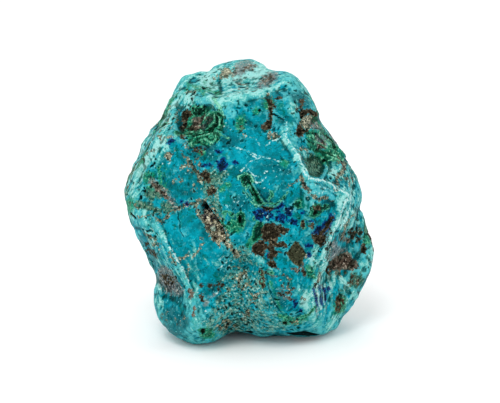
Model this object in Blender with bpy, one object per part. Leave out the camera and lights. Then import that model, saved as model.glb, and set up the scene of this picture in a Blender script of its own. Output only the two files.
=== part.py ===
"""A chrysocolla nugget: one water-worn stone that stands on worn flats, and the quartz druse in its open vug.

The stone is shaped in millimetres in the frame of its broad front: x to the right, y away from the
front, z up along it. Its form is a list of steps, each of which adds a lobe or a mass of the stone,
wears a facet, or raises or sinks a line or a hollow in what the steps before it made. The finished
form is leaned back, set down on z = 0 and scaled to metres.
"""

import math
from dataclasses import dataclass

import bmesh
import bpy
import numpy as np
from mathutils import Matrix, Vector, noise

MM = 0.001
LEAN_BACK_DEG = 15.0
STAND_LEVEL = -22.7  # height of the worn flats below the middle of the front, once it leans back
SKIN_CELLS = 26  # cells along each side of the cube that becomes the stone's skin
SKIN_CORE = (-1.0, 0.0, -2.5)  # every point of the skin is seen from here
VUG_CENTRE = (-6.3, -13.6, -3.8)
VUG_RADII = (1.45, 2.6, 4.5)
VUG_TURN_DEG = 27.0
VUG_CELLS = 8
DRUSE_GAP = 0.4
DRUSE_RECESS = 0.35  # how far the druse's points stay below the stone's skin
DRUSE_ROUGHNESS = 0.16  # share of the way to the middle by which its faces lie below its points
DRUSE_CELLS = 8
FARTHEST = 34.0
BISECTIONS = 30
POLISH = 0.4  # how far each point of the skin is worn towards its neighbours
CREST_ROUNDING = 0.5
FRONT, BACK = -1, 1


def smooth_union(near, other, blend):
    """The lesser of two distances, rounded where they meet."""
    share = np.clip(0.5 + 0.5 * (other - near) / blend, 0.0, 1.0)
    return other * (1 - share) + near * share - blend * share * (1 - share)


def turned(x, z, degrees):
    """Coordinates x, z in axes turned by so many degrees, anticlockwise as the front is seen."""
    c, s = math.cos(math.radians(degrees)), math.sin(math.radians(degrees))
    return x * c + z * s, z * c - x * s


def on_side(points, side):
    """1 on the given side of the stone, 0 on the other, with a soft change near its outline."""
    share = np.clip(side * points[:, 1] / 4.0 + 0.5, 0.0, 1.0)
    return share * share * (3 - 2 * share)


def line_distance(x, z, line):
    """Distance of x, z points to a line of points."""
    nearest = np.full(len(x), FARTHEST)
    for (x0, z0), (x1, z1) in zip(line, line[1:]):
        dx, dz = x1 - x0, z1 - z0
        along = np.clip(((x - x0) * dx + (z - z0) * dz) / (dx * dx + dz * dz), 0, 1)
        nearest = np.minimum(nearest, np.hypot(x - x0 - along * dx, z - z0 - along * dz))
    return nearest


def form_distance(steps, points):
    """How far each point lies outside the form that the steps build, below 0 where it is inside."""
    found = np.full(len(points), FARTHEST)
    for step in steps:
        found = step.shape(found, points)
    return found


@dataclass
class Lobe:
    """An ellipsoid, turned about y, which melts into what is there."""

    name: str
    centre: tuple
    radii: tuple
    turn_deg: float = 0.0
    blend: float = 3.0

    def shape(self, found, points):
        """Adds the lobe to the form found so far."""
        away = points - np.array(self.centre)
        x, z = turned(away[:, 0], away[:, 2], self.turn_deg)
        scaled = np.stack([x, away[:, 1], z], axis=1) / np.array(self.radii)
        size = np.linalg.norm(scaled, axis=1)
        slope = np.linalg.norm(scaled / np.array(self.radii), axis=1) / np.maximum(size, 1e-6)
        return smooth_union(found, (size - 1) / np.maximum(slope, 1e-6), self.blend)


@dataclass
class Facet:
    """A worn plane through a point, which faces a bearing (0 is the viewer, 90 the right) and a rise."""

    name: str
    through: tuple
    bearing_deg: float
    rise_deg: float
    edge: float = 1.0

    def shape(self, found, points):
        """Wears away what lies outside the plane."""
        bearing, rise = math.radians(self.bearing_deg), math.radians(self.rise_deg)
        level = math.cos(rise)
        out = np.array([level * math.sin(bearing), -level * math.cos(bearing), math.sin(rise)])
        beyond = (points - np.array(self.through)) @ out
        return -smooth_union(-found, -beyond, self.edge)


@dataclass
class Mass:
    """A part of the stone with its own lobes and facets, which melts into what is there."""

    name: str
    steps: tuple
    blend: float = 1.0

    def shape(self, found, points):
        """Joins the mass to the form found so far."""
        return smooth_union(found, form_distance(self.steps, points), self.blend)


@dataclass
class Stroke:
    """A ridge, or with a height below 0 a groove, that follows a line of x, z points on one side."""

    name: str
    side: int
    height: float
    width: float
    line: tuple

    def shape(self, found, points):
        """Raises the form along the line."""
        away = line_distance(points[:, 0], points[:, 2], self.line)
        crest = np.hypot(away, CREST_ROUNDING) - CREST_ROUNDING
        return found - self.height * np.exp(-crest / self.width) * on_side(points, self.side)


@dataclass
class Dent:
    """A shallow oval hollow at an x, z point of one side."""

    name: str
    side: int
    at: tuple
    size: tuple
    turn_deg: float
    depth: float

    def shape(self, found, points):
        """Sinks the form inside the oval."""
        x, z = turned(points[:, 0] - self.at[0], points[:, 2] - self.at[1], self.turn_deg)
        bowl = np.clip(1 - (x / self.size[0]) ** 2 - (z / self.size[1]) ** 2, 0, 1)
        return found + self.depth * bowl * on_side(points, self.side)


@dataclass
class Lumps:
    """Uneven wear over the whole stone, in lumps of about one size."""

    name: str
    size: float
    height: float
    start: float

    def shape(self, found, points):
        """Raises and sinks the form by the lumps."""
        scaled = (points / self.size + self.start).tolist()
        return found - self.height * np.array([noise.noise(place) for place in scaled])


@dataclass
class Inset:
    """Keeps what lies at least so deep inside another form."""

    name: str
    steps: tuple
    depth: float

    def shape(self, found, points):
        """Takes away what is nearer to the other form's surface."""
        return np.maximum(found, form_distance(self.steps, points) + self.depth)


FORM = (
    Mass("trunk", (
        Lobe("body", (-1.4, 0.0, 0.0), (20.7, 17.0, 21.0)),
        Lobe("head", (-1.4, 1.0, 12.0), (14.4, 13.5, 12.6), blend=1.0),
        Lobe("head_left", (-8.2, 5.5, 16.3), (7.0, 8.5, 8.1), blend=1.5),
        Lobe("head_right", (4.9, 1.5, 15.5), (7.1, 8.5, 7.6), blend=1.0),
        Facet("dish", (-2.0, -7.5, 17.6), -8.0, 60.0, 0.8),
        Facet("upper_face", (-2.0, -9.6, 17.2), 5.0, 22.0, 1.0),
        Facet("right_side", (9.4, -12.0, 5.6), 48.0, 18.0, 0.8),
        Facet("right_shoulder", (16.7, 0.0, 8.4), 84.0, 30.0, 1.2),
        Facet("left_face", (-9.0, -13.4, 3.0), -27.0, 9.0, 0.8),
        Facet("left_rim", (-15.5, -8.0, 9.0), -66.0, 28.0, 0.7),
        Facet("left_flank", (-18.7, 0.0, -9.2), -75.0, -24.0, 1.5),
        Facet("back_upper_left", (-9.0, 11.0, 9.0), -150.0, 24.0, 1.0),
        Facet("back_upper_right", (6.0, 12.0, 9.0), 152.0, 22.0, 1.0),
        Facet("back_left", (-12.0, 11.0, -3.0), -132.0, -8.0, 1.0),
        Facet("back_right", (12.0, 11.5, -2.0), 126.0, 6.0, 1.0),
    )),
    Lobe("top_knuckle", (-1.4, 6.5, 18.7), (7.4, 7.0, 7.0), blend=1.0),
    Mass("brow", (
        Lobe("brow_swelling", (4.0, -3.5, -1.5), (13.0, 13.6, 13.0)),
        Facet("brow_front", (4.0, -16.4, 0.0), 8.0, 0.0, 1.0),
        Facet("brow_underside", (-0.6, -14.8, -8.6), -30.0, -24.0, 1.0),
        Facet("brow_right", (13.2, -9.5, -7.0), 64.0, 2.0, 0.8),
        Facet("brow_top_right", (9.6, -12.6, 5.2), 50.0, 34.0, 1.0),
    )),
    Mass("left_foot", (
        Lobe("left_foot_swelling", (-8.5, -2.4, -15.0), (8.7, 11.2, 9.8)),
        Facet("left_foot_side", (-10.8, -10.2, -16.0), -40.0, -2.0, 0.8),
        Facet("left_foot_front", (-6.0, -12.0, -14.0), 2.0, -6.0, 1.0),
    )),
    Mass("belly", (
        Lobe("belly_swelling", (2.5, -1.0, -13.0), (11.0, 13.2, 10.6)),
        Facet("belly_front", (4.0, -13.2, -15.0), 4.0, -6.0, 1.0),
    ), blend=1.2),
    Mass("knob", (
        Lobe("knob_swelling", (11.9, 3.0, -9.6), (9.8, 10.4, 9.2), 20.0),
        Facet("knob_front", (16.0, -4.6, -10.0), 40.0, 6.0, 1.2),
        Facet("knob_back", (16.0, 10.0, -10.0), 140.0, 0.0, 1.2),
    ), blend=0.8),
    Lobe("right_foot", (9.1, 1.5, -15.0), (9.3, 10.0, 9.2), 25.0, blend=2.0),
    Mass("heel", (
        Lobe("heel_swelling", (-1.0, 9.0, -12.0), (14.0, 8.6, 13.0)),
        Facet("heel_left", (-9.0, 14.0, -12.0), -160.0, -10.0, 1.0),
        Facet("heel_right", (6.0, 14.6, -12.0), 162.0, -6.0, 1.0),
    ), blend=1.5),
    Stroke("front_right_edge", FRONT, 1.6, 1.9,
           ((16.0, 0.5), (15.5, -2.5), (13.6, -7.0), (12.4, -11.5), (11.0, -16.0), (10.6, -20.0))),
    Stroke("knob_groove", FRONT, -1.4, 2.1,
           ((18.5, -3.0), (15.8, -7.5), (14.3, -12.0), (13.2, -17.0))),
    Stroke("lower_left_edge", FRONT, 1.3, 1.7,
           ((-18.5, -3.0), (-15.8, -4.8), (-14.6, -8.0), (-12.8, -11.0), (-10.6, -15.0), (-9.6, -21.0))),
    Stroke("flank_groove", FRONT, -1.0, 2.0,
           ((-18.6, -8.0), (-16.6, -11.5), (-14.0, -14.5))),
    Stroke("vug_valley", FRONT, -1.0, 1.8,
           ((-9.5, 6.0), (-8.0, 0.5), (-5.5, -4.0), (-2.6, -8.5), (0.8, -11.0))),
    Stroke("belly_trough", FRONT, -0.8, 2.4,
           ((-1.8, -10.0), (-0.8, -14.0), (0.5, -20.0))),
    Stroke("ledge", FRONT, 1.6, 1.5,
           ((8.6, 4.6), (11.0, 2.4), (14.6, 1.6), (17.0, 0.4))),
    Dent("ledge_recess", FRONT, (11.8, 6.6), (3.0, 3.4), 0.0, 1.5),
    Stroke("sharp_right_ridge", FRONT, 1.1, 1.2,
           ((5.6, 12.3), (7.2, 9.6), (8.6, 7.0), (9.6, 5.0))),
    Dent("dish_bowl", FRONT, (-2.0, 20.6), (7.0, 2.8), 8.0, 1.3),
    Stroke("dish_lip", FRONT, 0.8, 1.2,
           ((-8.0, 16.8), (-4.4, 17.0), (0.0, 18.0), (3.0, 19.6), (6.2, 21.2))),
    Dent("malachite_hollow", FRONT, (-8.6, 13.4), (5.0, 3.6), 10.0, 1.7),
    Stroke("rim_left", FRONT, 0.9, 1.2,
           ((-13.2, 18.4), (-13.6, 14.5), (-15.2, 11.6), (-17.4, 7.8))),
    Stroke("back_spine", BACK, 1.6, 2.0,
           ((-4.0, 19.0), (-1.5, 12.0), (1.0, 5.0), (-1.0, -3.0), (-4.5, -9.0))),
    Stroke("back_ledge", BACK, 1.4, 1.6,
           ((3.0, 2.0), (8.0, 0.5), (14.0, -2.0), (18.0, -3.0))),
    Stroke("back_groove", BACK, -1.5, 2.0,
           ((-17.0, 2.0), (-12.0, -3.0), (-8.0, -8.0), (-7.0, -16.0))),
    Stroke("back_seam", BACK, -1.2, 1.6,
           ((7.0, 14.0), (9.0, 8.0), (10.0, 3.5))),
    Dent("back_hollow", BACK, (6.0, -8.5), (5.0, 4.0), 20.0, 1.8),
    Dent("back_scoop", BACK, (-8.5, 7.0), (5.0, 4.2), -25.0, 1.6),
    Lumps("swells", 8.0, 0.7, 3.1),
    Lumps("knobbles", 3.4, 0.28, 11.7),
)

VUG = (
    Lobe("vug_slot", VUG_CENTRE, VUG_RADII, VUG_TURN_DEG),
)

DRUSE_RADII = (VUG_RADII[0] - DRUSE_GAP, VUG_RADII[1] - DRUSE_GAP, 0.72 * VUG_RADII[2])
DRUSE_CENTRE = (VUG_CENTRE[0] + 0.38, VUG_CENTRE[1] + 0.15, VUG_CENTRE[2] - 0.75)
DRUSE = (
    Lobe("druse_bed", DRUSE_CENTRE, DRUSE_RADII, VUG_TURN_DEG),
    Inset("druse_face", FORM, DRUSE_RECESS),
)


def skin_points(steps, core, directions):
    """The point of the form's skin that lies in each direction from the core."""
    inner = np.zeros(len(directions))
    outer = np.full(len(directions), FARTHEST)
    for _ in range(BISECTIONS):
        middle = (inner + outer) / 2
        inside = form_distance(steps, core + directions * middle[:, None]) < 0
        inner = np.where(inside, middle, inner)
        outer = np.where(inside, outer, middle)
    return core + directions * inner[:, None]


def skin_mesh(steps, core, cells):
    """A closed mesh of even quads laid on the form's skin, still in millimetres."""
    skin = bmesh.new()
    bmesh.ops.create_cube(skin, size=2)
    bmesh.ops.subdivide_edges(skin, edges=skin.edges[:], cuts=cells - 1, use_grid_fill=True)
    cube = np.array([vertex.co for vertex in skin.verts])
    even = np.tan(cube * (math.pi / 4))
    directions = even / np.linalg.norm(even, axis=1, keepdims=True)
    laid = skin_points(steps, np.array(core), directions)
    for vertex, place in zip(skin.verts, laid):
        vertex.co = place
    return skin


def polished(skin, factor):
    """Wears each point of the skin towards its neighbours."""
    bmesh.ops.smooth_vert(
        skin, verts=skin.verts, factor=factor, use_axis_x=True, use_axis_y=True, use_axis_z=True
    )
    return skin


def roughened(skin, core, share, seed):
    """Sinks each point of the skin by up to the share of its way to the core, which leaves small crystal points."""
    middle = Vector(core)
    for vertex, sunk in zip(skin.verts, np.random.default_rng(seed).uniform(0, share, len(skin.verts))):
        vertex.co = middle.lerp(vertex.co, 1 - sunk)
    return skin


def stood_up(skin):
    """Leans the form back and lifts it onto z = 0, still in millimetres."""
    lean = Matrix.Rotation(math.radians(-LEAN_BACK_DEG), 4, "X")
    lift = Matrix.Translation((0, 0, -STAND_LEVEL))
    bmesh.ops.transform(skin, matrix=lift @ lean, verts=skin.verts)
    return skin


def worn_flat(skin):
    """Wears flat whatever would reach below z = 0."""
    for vertex in skin.verts:
        vertex.co.z = max(vertex.co.z, 0)
    return skin


def stone_material(name, colour, roughness):
    """An opaque Principled material."""
    material = bpy.data.materials.new(name)
    material.use_nodes = True
    shader = material.node_tree.nodes["Principled BSDF"]
    shader.inputs["Base Color"].default_value = (*colour, 1)
    shader.inputs["Metallic"].default_value = 0
    shader.inputs["Roughness"].default_value = roughness
    return material


def finished(name, skin, material, smooth):
    """The named object, in metres, with its faces turned out."""
    bmesh.ops.scale(skin, vec=(MM, MM, MM), verts=skin.verts)
    bmesh.ops.recalc_face_normals(skin, faces=skin.faces)
    mesh = bpy.data.meshes.new(name)
    skin.to_mesh(mesh)
    skin.free()
    mesh.polygons.foreach_set("use_smooth", [smooth] * len(mesh.polygons))
    mesh.materials.append(material)
    obj = bpy.data.objects.new(name, mesh)
    bpy.context.collection.objects.link(obj)
    return obj


def cut_away(obj, cutter):
    """Takes the cutter out of the object and hides it from renders."""
    cut = obj.modifiers.new(cutter.name, "BOOLEAN")
    cut.operation = "DIFFERENCE"
    cut.solver = "EXACT"
    cut.object = cutter
    cutter.hide_render = True
    cutter.display_type = "WIRE"


def centre_together(objects, measured):
    """Moves the objects so that the measured one is centred over the origin."""
    corners = np.array([vertex.co for vertex in measured.data.vertices])
    middle = (corners.min(axis=0) + corners.max(axis=0)) / 2
    for obj in objects:
        obj.location = (-middle[0], -middle[1], 0)


def main():
    """Builds the stone and the druse in its vug."""
    for obj in list(bpy.data.objects):
        bpy.data.objects.remove(obj, do_unlink=True)
    chrysocolla = stone_material("chrysocolla", (0.02, 0.32, 0.36), 0.42)
    quartz = stone_material("quartz_druse", (0.48, 0.38, 0.26), 0.35)
    stone_skin = polished(skin_mesh(FORM, SKIN_CORE, SKIN_CELLS), POLISH)
    stone = finished("stone", worn_flat(stood_up(stone_skin)), chrysocolla, True)
    vug_skin = stood_up(skin_mesh(VUG, VUG_CENTRE, VUG_CELLS))
    vug = finished("vug_cutter", vug_skin, chrysocolla, True)
    druse_bed = skin_mesh(DRUSE, DRUSE_CENTRE, DRUSE_CELLS)
    druse_skin = roughened(druse_bed, DRUSE_CENTRE, DRUSE_ROUGHNESS, 5)
    druse = finished("vug_druse", stood_up(druse_skin), quartz, False)
    cut_away(stone, vug)
    centre_together((stone, vug, druse), stone)


main()
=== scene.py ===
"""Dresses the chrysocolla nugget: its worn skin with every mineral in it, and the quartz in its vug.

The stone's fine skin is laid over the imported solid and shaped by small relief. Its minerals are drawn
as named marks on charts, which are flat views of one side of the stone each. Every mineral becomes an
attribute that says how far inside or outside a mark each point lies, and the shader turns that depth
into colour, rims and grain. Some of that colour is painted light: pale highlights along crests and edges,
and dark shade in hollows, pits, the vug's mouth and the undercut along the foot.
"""
from __future__ import annotations

import logging
import math
from dataclasses import dataclass, field
from enum import Enum
from functools import cached_property

import bmesh
import bpy
import numpy as np
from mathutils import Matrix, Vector, noise
from mathutils.bvhtree import BVHTree


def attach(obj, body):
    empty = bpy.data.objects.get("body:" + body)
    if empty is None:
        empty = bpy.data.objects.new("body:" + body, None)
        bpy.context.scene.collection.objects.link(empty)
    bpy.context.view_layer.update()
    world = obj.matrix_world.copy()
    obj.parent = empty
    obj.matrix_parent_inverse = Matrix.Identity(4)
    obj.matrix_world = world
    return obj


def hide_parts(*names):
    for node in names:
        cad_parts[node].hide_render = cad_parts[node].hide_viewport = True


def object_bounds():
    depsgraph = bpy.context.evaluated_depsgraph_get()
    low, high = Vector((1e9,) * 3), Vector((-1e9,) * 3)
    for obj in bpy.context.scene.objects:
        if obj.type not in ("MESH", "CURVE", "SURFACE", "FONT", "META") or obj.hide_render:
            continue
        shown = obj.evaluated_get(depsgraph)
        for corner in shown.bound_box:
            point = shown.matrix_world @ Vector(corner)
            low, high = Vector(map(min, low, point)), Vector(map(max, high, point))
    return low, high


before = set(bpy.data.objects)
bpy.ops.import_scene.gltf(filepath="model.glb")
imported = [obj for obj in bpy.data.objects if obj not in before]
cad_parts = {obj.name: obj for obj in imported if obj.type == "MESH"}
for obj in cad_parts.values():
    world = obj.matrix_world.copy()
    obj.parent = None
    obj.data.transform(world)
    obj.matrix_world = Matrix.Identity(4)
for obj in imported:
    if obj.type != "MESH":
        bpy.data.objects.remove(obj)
CAD_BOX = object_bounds()

log = logging.getLogger("nugget")

MM = 0.001
POINT = 0.176 * MM  # one chart point on the stone
CHART_MIDDLE = (250.0, 201.0)  # the chart point over the middle of the stone
EYE = 0.33  # how far off each chart is drawn from
MIDDLE = Vector((-0.0094, -0.7894, 22.7)) * MM
OUTSIDE = -8.0  # a mark's depth is cut off this many chart points outside it
DEEPEST = 14.0  # and this many inside it
FAR = 60 * MM  # well outside the stone

Place = tuple[float, float]  # right and down on a chart
Span = tuple[float, float, float, float]
Colour = tuple[int, int, int]
Offset = tuple[float, float, float]
Socket = bpy.types.NodeSocket


def unit(azimuth: float, elevation: float) -> np.ndarray:
    """The direction from the stone towards an eye at this azimuth and elevation, in degrees."""
    a, e = math.radians(azimuth), math.radians(elevation)
    return np.array([math.sin(a) * math.cos(e), -math.cos(a) * math.cos(e), math.sin(e)])


def rounded(share: np.ndarray) -> np.ndarray:
    """A share from 0 to 1 that starts and ends softly."""
    return share * share * (3 - 2 * share)


def smooth_step(low: float, high: float, value: np.ndarray) -> np.ndarray:
    """0 below low, 1 above high, with a soft change between them."""
    return rounded(np.clip((value - low) / (high - low), 0.0, 1.0))


@dataclass(frozen=True)
class Lumps:
    """Smooth noise over the stone, from -height to height."""

    size: float  # of the largest lumps, in metres
    start: float  # which part of the noise is used
    octaves: int = 1  # how many times finer lumps are added
    height: float = 1.0
    shift: float = 7.3  # how far apart in the noise the octaves are taken from

    def at(self, points: np.ndarray) -> np.ndarray:
        """The noise at some places.

        Args:
            points: places in metres, one row each.

        Returns:
            A number for each place.
        """
        found = np.zeros(len(points))
        for octave in range(self.octaves):
            scaled = (points * (2**octave / self.size) + self.start + self.shift * octave).tolist()
            found += np.array([noise.noise(place) for place in scaled]) / 2**octave
        return found * self.height


@dataclass(frozen=True)
class Creases:
    """Rounded lumps with sharp hollows between them."""

    size: float
    octaves: int
    height: float
    level: float = 0.55  # what is taken off, so that the lumps lie about 0

    def at(self, points: np.ndarray) -> np.ndarray:
        """The lumps at some places.

        Args:
            points: places in metres, one row each.

        Returns:
            A number for each place.
        """
        scaled = (points / self.size).tolist()
        found = np.array([noise.turbulence(place, self.octaves, True) for place in scaled])
        return (found - self.level) * self.height


@dataclass(frozen=True)
class Streaks:
    """Noise drawn out along the stone's steep edges, from -1 to 1."""

    across: float  # the width of the streaks
    along: float  # their length
    lean: float = 0.38  # to the right as they rise
    low_left_lean: float = -0.42
    left: Place = (2 * MM, -3 * MM)  # where the low left side starts, and where it is reached
    low: Place = (24 * MM, 18 * MM)

    def at(self, points: np.ndarray) -> np.ndarray:
        """The streaks at some places.

        Args:
            points: places in metres, one row each.

        Returns:
            A number for each place.
        """
        low_left = smooth_step(*self.left, points[:, 0]) * smooth_step(*self.low, points[:, 2])
        found = np.zeros(len(points))
        for lean, share in ((self.lean, 1 - low_left), (self.low_left_lean, low_left)):
            grain_line = np.array([lean, 0.0, math.sqrt(1 - lean * lean)])
            lengthwise = points @ grain_line
            drawn_out = points - np.outer(lengthwise * (1 - self.across / self.along), grain_line)
            found += share * Lumps(self.across, 31.0, 3).at(drawn_out)
        return found


@dataclass(frozen=True)
class Chart:
    """A flat view of one side of the stone, on which marks are drawn.

    Its points count right and down, and are POINT across at the middle of the stone.
    """

    azimuth: float
    elevation: float
    least_facing: float = 0.35  # how squarely the skin has to face it for its marks to show in full

    def laid(self, points: np.ndarray, normals: np.ndarray) -> tuple[np.ndarray, np.ndarray, np.ndarray]:
        """Where each place of the skin falls on the chart, and how squarely it faces the chart's eye.

        Args:
            points: places in metres.
            normals: outward normals there.

        Returns:
            The chart's right and down coordinates, and the facing: 1 for square on, below 0 for turned away.
        """
        a, e = math.radians(self.azimuth), math.radians(self.elevation)
        back = unit(self.azimuth, self.elevation)
        right = np.array([math.cos(a), math.sin(a), 0.0])
        up = np.array([-math.sin(a) * math.sin(e), math.cos(a) * math.sin(e), math.cos(e)])
        away = points - np.array(MIDDLE)
        near = EYE / (EYE - away @ back)
        u = CHART_MIDDLE[0] + (away @ right) * near / POINT
        v = CHART_MIDDLE[1] - (away @ up) * near / POINT
        sight = back * EYE - away
        sight /= np.linalg.norm(sight, axis=1, keepdims=True)
        return u, v, (normals * sight).sum(axis=1)


FRONT = Chart(0.0, 15.0, 0.08)
RIGHT = Chart(90.0, 5.0)
BACK = Chart(180.0, 5.0)
LEFT = Chart(270.0, 5.0)
TOP = Chart(0.0, 85.0)


def pairs(flat: tuple[float, ...]) -> list[Place]:
    """Chart points from a row of right and down coordinates by turns."""
    return list(zip(flat[::2], flat[1::2]))


def span_of(points: list[Place], half: float) -> Span:
    """The least and greatest coordinates of some chart points with a half width."""
    across, down = zip(*points)
    return min(across) - half, min(down) - half, max(across) + half, max(down) + half


def along(u: np.ndarray, v: np.ndarray, start: Place, end: Place) -> tuple[np.ndarray, np.ndarray]:
    """How far each chart point lies along a straight piece of a line, and how far away from it.

    Args:
        u: the points' right coordinates on the chart.
        v: their down coordinates.
        start: where the piece starts.
        end: where it ends.

    Returns:
        The share of the piece at the place nearest to each point, and the distance to that place.
    """
    dx, dy = end[0] - start[0], end[1] - start[1]
    share = np.clip(((u - start[0]) * dx + (v - start[1]) * dy) / (dx * dx + dy * dy), 0, 1)
    return share, np.hypot(u - start[0] - share * dx, v - start[1] - share * dy)


@dataclass(frozen=True)
class Spot:
    """An oval mark: its middle, half width and half height, and its turn, clockwise as it's seen."""

    right: float
    down: float
    half_width: float
    half_height: float
    turn: float = 0.0

    def span(self) -> Span:
        """The least and greatest chart coordinates that the mark reaches."""
        return span_of([(self.right, self.down)], max(self.half_width, self.half_height))

    def depth(self, u: np.ndarray, v: np.ndarray) -> np.ndarray:
        """How far inside the mark each chart point is.

        Args:
            u: the points' right coordinates on the chart.
            v: their down coordinates.

        Returns:
            The depth in chart points, below 0 outside.
        """
        c, s = math.cos(math.radians(self.turn)), math.sin(math.radians(self.turn))
        x, y = u - self.right, v - self.down
        away = np.hypot((x * c + y * s) / self.half_width, (y * c - x * s) / self.half_height)
        return (1 - away) * min(self.half_width, self.half_height)


@dataclass(frozen=True)
class Line:
    """A line of points with a half width, which can change evenly to another at its end."""

    points: tuple[float, ...]  # right and down by turns
    half: float = 0.6
    end_half: float | None = None

    def span(self) -> Span:
        """The least and greatest chart coordinates that the mark reaches."""
        return span_of(pairs(self.points), max(self.half, self.end_half or 0.0))

    def depth(self, u: np.ndarray, v: np.ndarray) -> np.ndarray:
        """How far inside the line's width each chart point is.

        Args:
            u: the points' right coordinates on the chart.
            v: their down coordinates.

        Returns:
            The depth in chart points, below 0 outside.
        """
        last = self.half if self.end_half is None else self.end_half
        points = pairs(self.points)
        found = np.full(len(u), OUTSIDE)
        for index, (start, end) in enumerate(zip(points, points[1:])):
            share, away = along(u, v, start, end)
            half = self.half + (last - self.half) * (index + share) / (len(points) - 1)
            found = np.maximum(found, half - away)
        return found


@dataclass(frozen=True)
class Patch:
    """A mark with an outline of corners."""

    corners: tuple[float, ...]  # right and down by turns

    def span(self) -> Span:
        """The least and greatest chart coordinates that the mark reaches."""
        return span_of(pairs(self.corners), 0.0)

    def depth(self, u: np.ndarray, v: np.ndarray) -> np.ndarray:
        """How far inside the outline each chart point is.

        Args:
            u: the points' right coordinates on the chart.
            v: their down coordinates.

        Returns:
            The depth in chart points, below 0 outside.
        """
        away = np.full(len(u), np.inf)
        inside = np.zeros(len(u), bool)
        corners = pairs(self.corners)
        for start, end in zip(corners, corners[1:] + corners[:1]):
            away = np.minimum(away, along(u, v, start, end)[1])
            if start[1] != end[1]:
                crosses = (start[1] > v) != (end[1] > v)
                meets = start[0] + (end[0] - start[0]) * (v - start[1]) / (end[1] - start[1])
                inside ^= crosses & (u < meets)
        return np.where(inside, away, -away)


@dataclass(frozen=True)
class Scatter:
    """Many small spots of chosen half widths inside an oval."""

    right: float
    down: float
    half_width: float
    half_height: float
    turn: float
    count: int
    least: float
    most: float
    seed: int
    flattest: float = 0.55  # the least share of a spot's half width that its half height is

    def span(self) -> Span:
        """The least and greatest chart coordinates that the spots reach."""
        return span_of([(self.right, self.down)], max(self.half_width, self.half_height) + self.most)

    def depth(self, u: np.ndarray, v: np.ndarray) -> np.ndarray:
        """How far inside any of the spots each chart point is.

        Args:
            u: the points' right coordinates on the chart.
            v: their down coordinates.

        Returns:
            The depth in chart points, below 0 outside.
        """
        rng = np.random.default_rng(self.seed)
        c, s = math.cos(math.radians(self.turn)), math.sin(math.radians(self.turn))
        found = np.full(len(u), OUTSIDE)
        for _ in range(self.count):
            reach, angle = math.sqrt(rng.uniform()), rng.uniform(0, 2 * math.pi)
            x, y = reach * self.half_width * math.cos(angle), reach * self.half_height * math.sin(angle)
            size, flat = rng.uniform(self.least, self.most), rng.uniform(self.flattest, 1.0)
            right, down = self.right + x * c - y * s, self.down + x * s + y * c
            spot = Spot(right, down, size, size * flat, rng.uniform(0, 180))
            found = np.maximum(found, spot.depth(u, v))
        return found


Mark = Spot | Line | Patch | Scatter
Raised = tuple[Mark, float, float]  # a mark, its height in millimetres, its slope's width in chart points


def drawn(marks: tuple[Mark, ...], u: np.ndarray, v: np.ndarray) -> np.ndarray:
    """How far inside any of the marks each chart point is, below 0 outside.

    Args:
        marks: the marks of one mineral on one chart.
        u: the points' right coordinates on the chart.
        v: their down coordinates.

    Returns:
        The greatest depth at each point, from OUTSIDE to DEEPEST.
    """
    found = np.full(len(u), OUTSIDE)
    for mark in marks:
        left, top, right, bottom = mark.span()
        level = (u > left + OUTSIDE) & (u < right - OUTSIDE)
        near = np.nonzero(level & (v > top + OUTSIDE) & (v < bottom - OUTSIDE))[0]
        if len(near):
            found[near] = np.maximum(found[near], mark.depth(u[near], v[near]))
    return np.minimum(found, DEEPEST)


class Mineral(Enum):
    """What shows in the skin, from the lowest layer to the highest."""

    DEEP = "deep"
    # pale film, partly painted highlight along crests and edges
    PALE_AND_HIGHLIGHT = "pale"
    MOSS = "moss"
    GRAIN = "grain"
    GREEN = "green"
    SAND = "sand"
    SLATE = "slate"
    MALACHITE = "malachite"
    AZURITE = "azurite"
    RUST = "rust"
    UMBER = "umber"
    OLIVE = "olive"
    MINT = "mint"
    VEIN = "vein"
    # painted shade: near-black holes, the vug's mouth and the undercut along the foot
    PIT_SHADE = "pit"


Marks = dict[Mineral, tuple[Mark, ...]]

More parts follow.
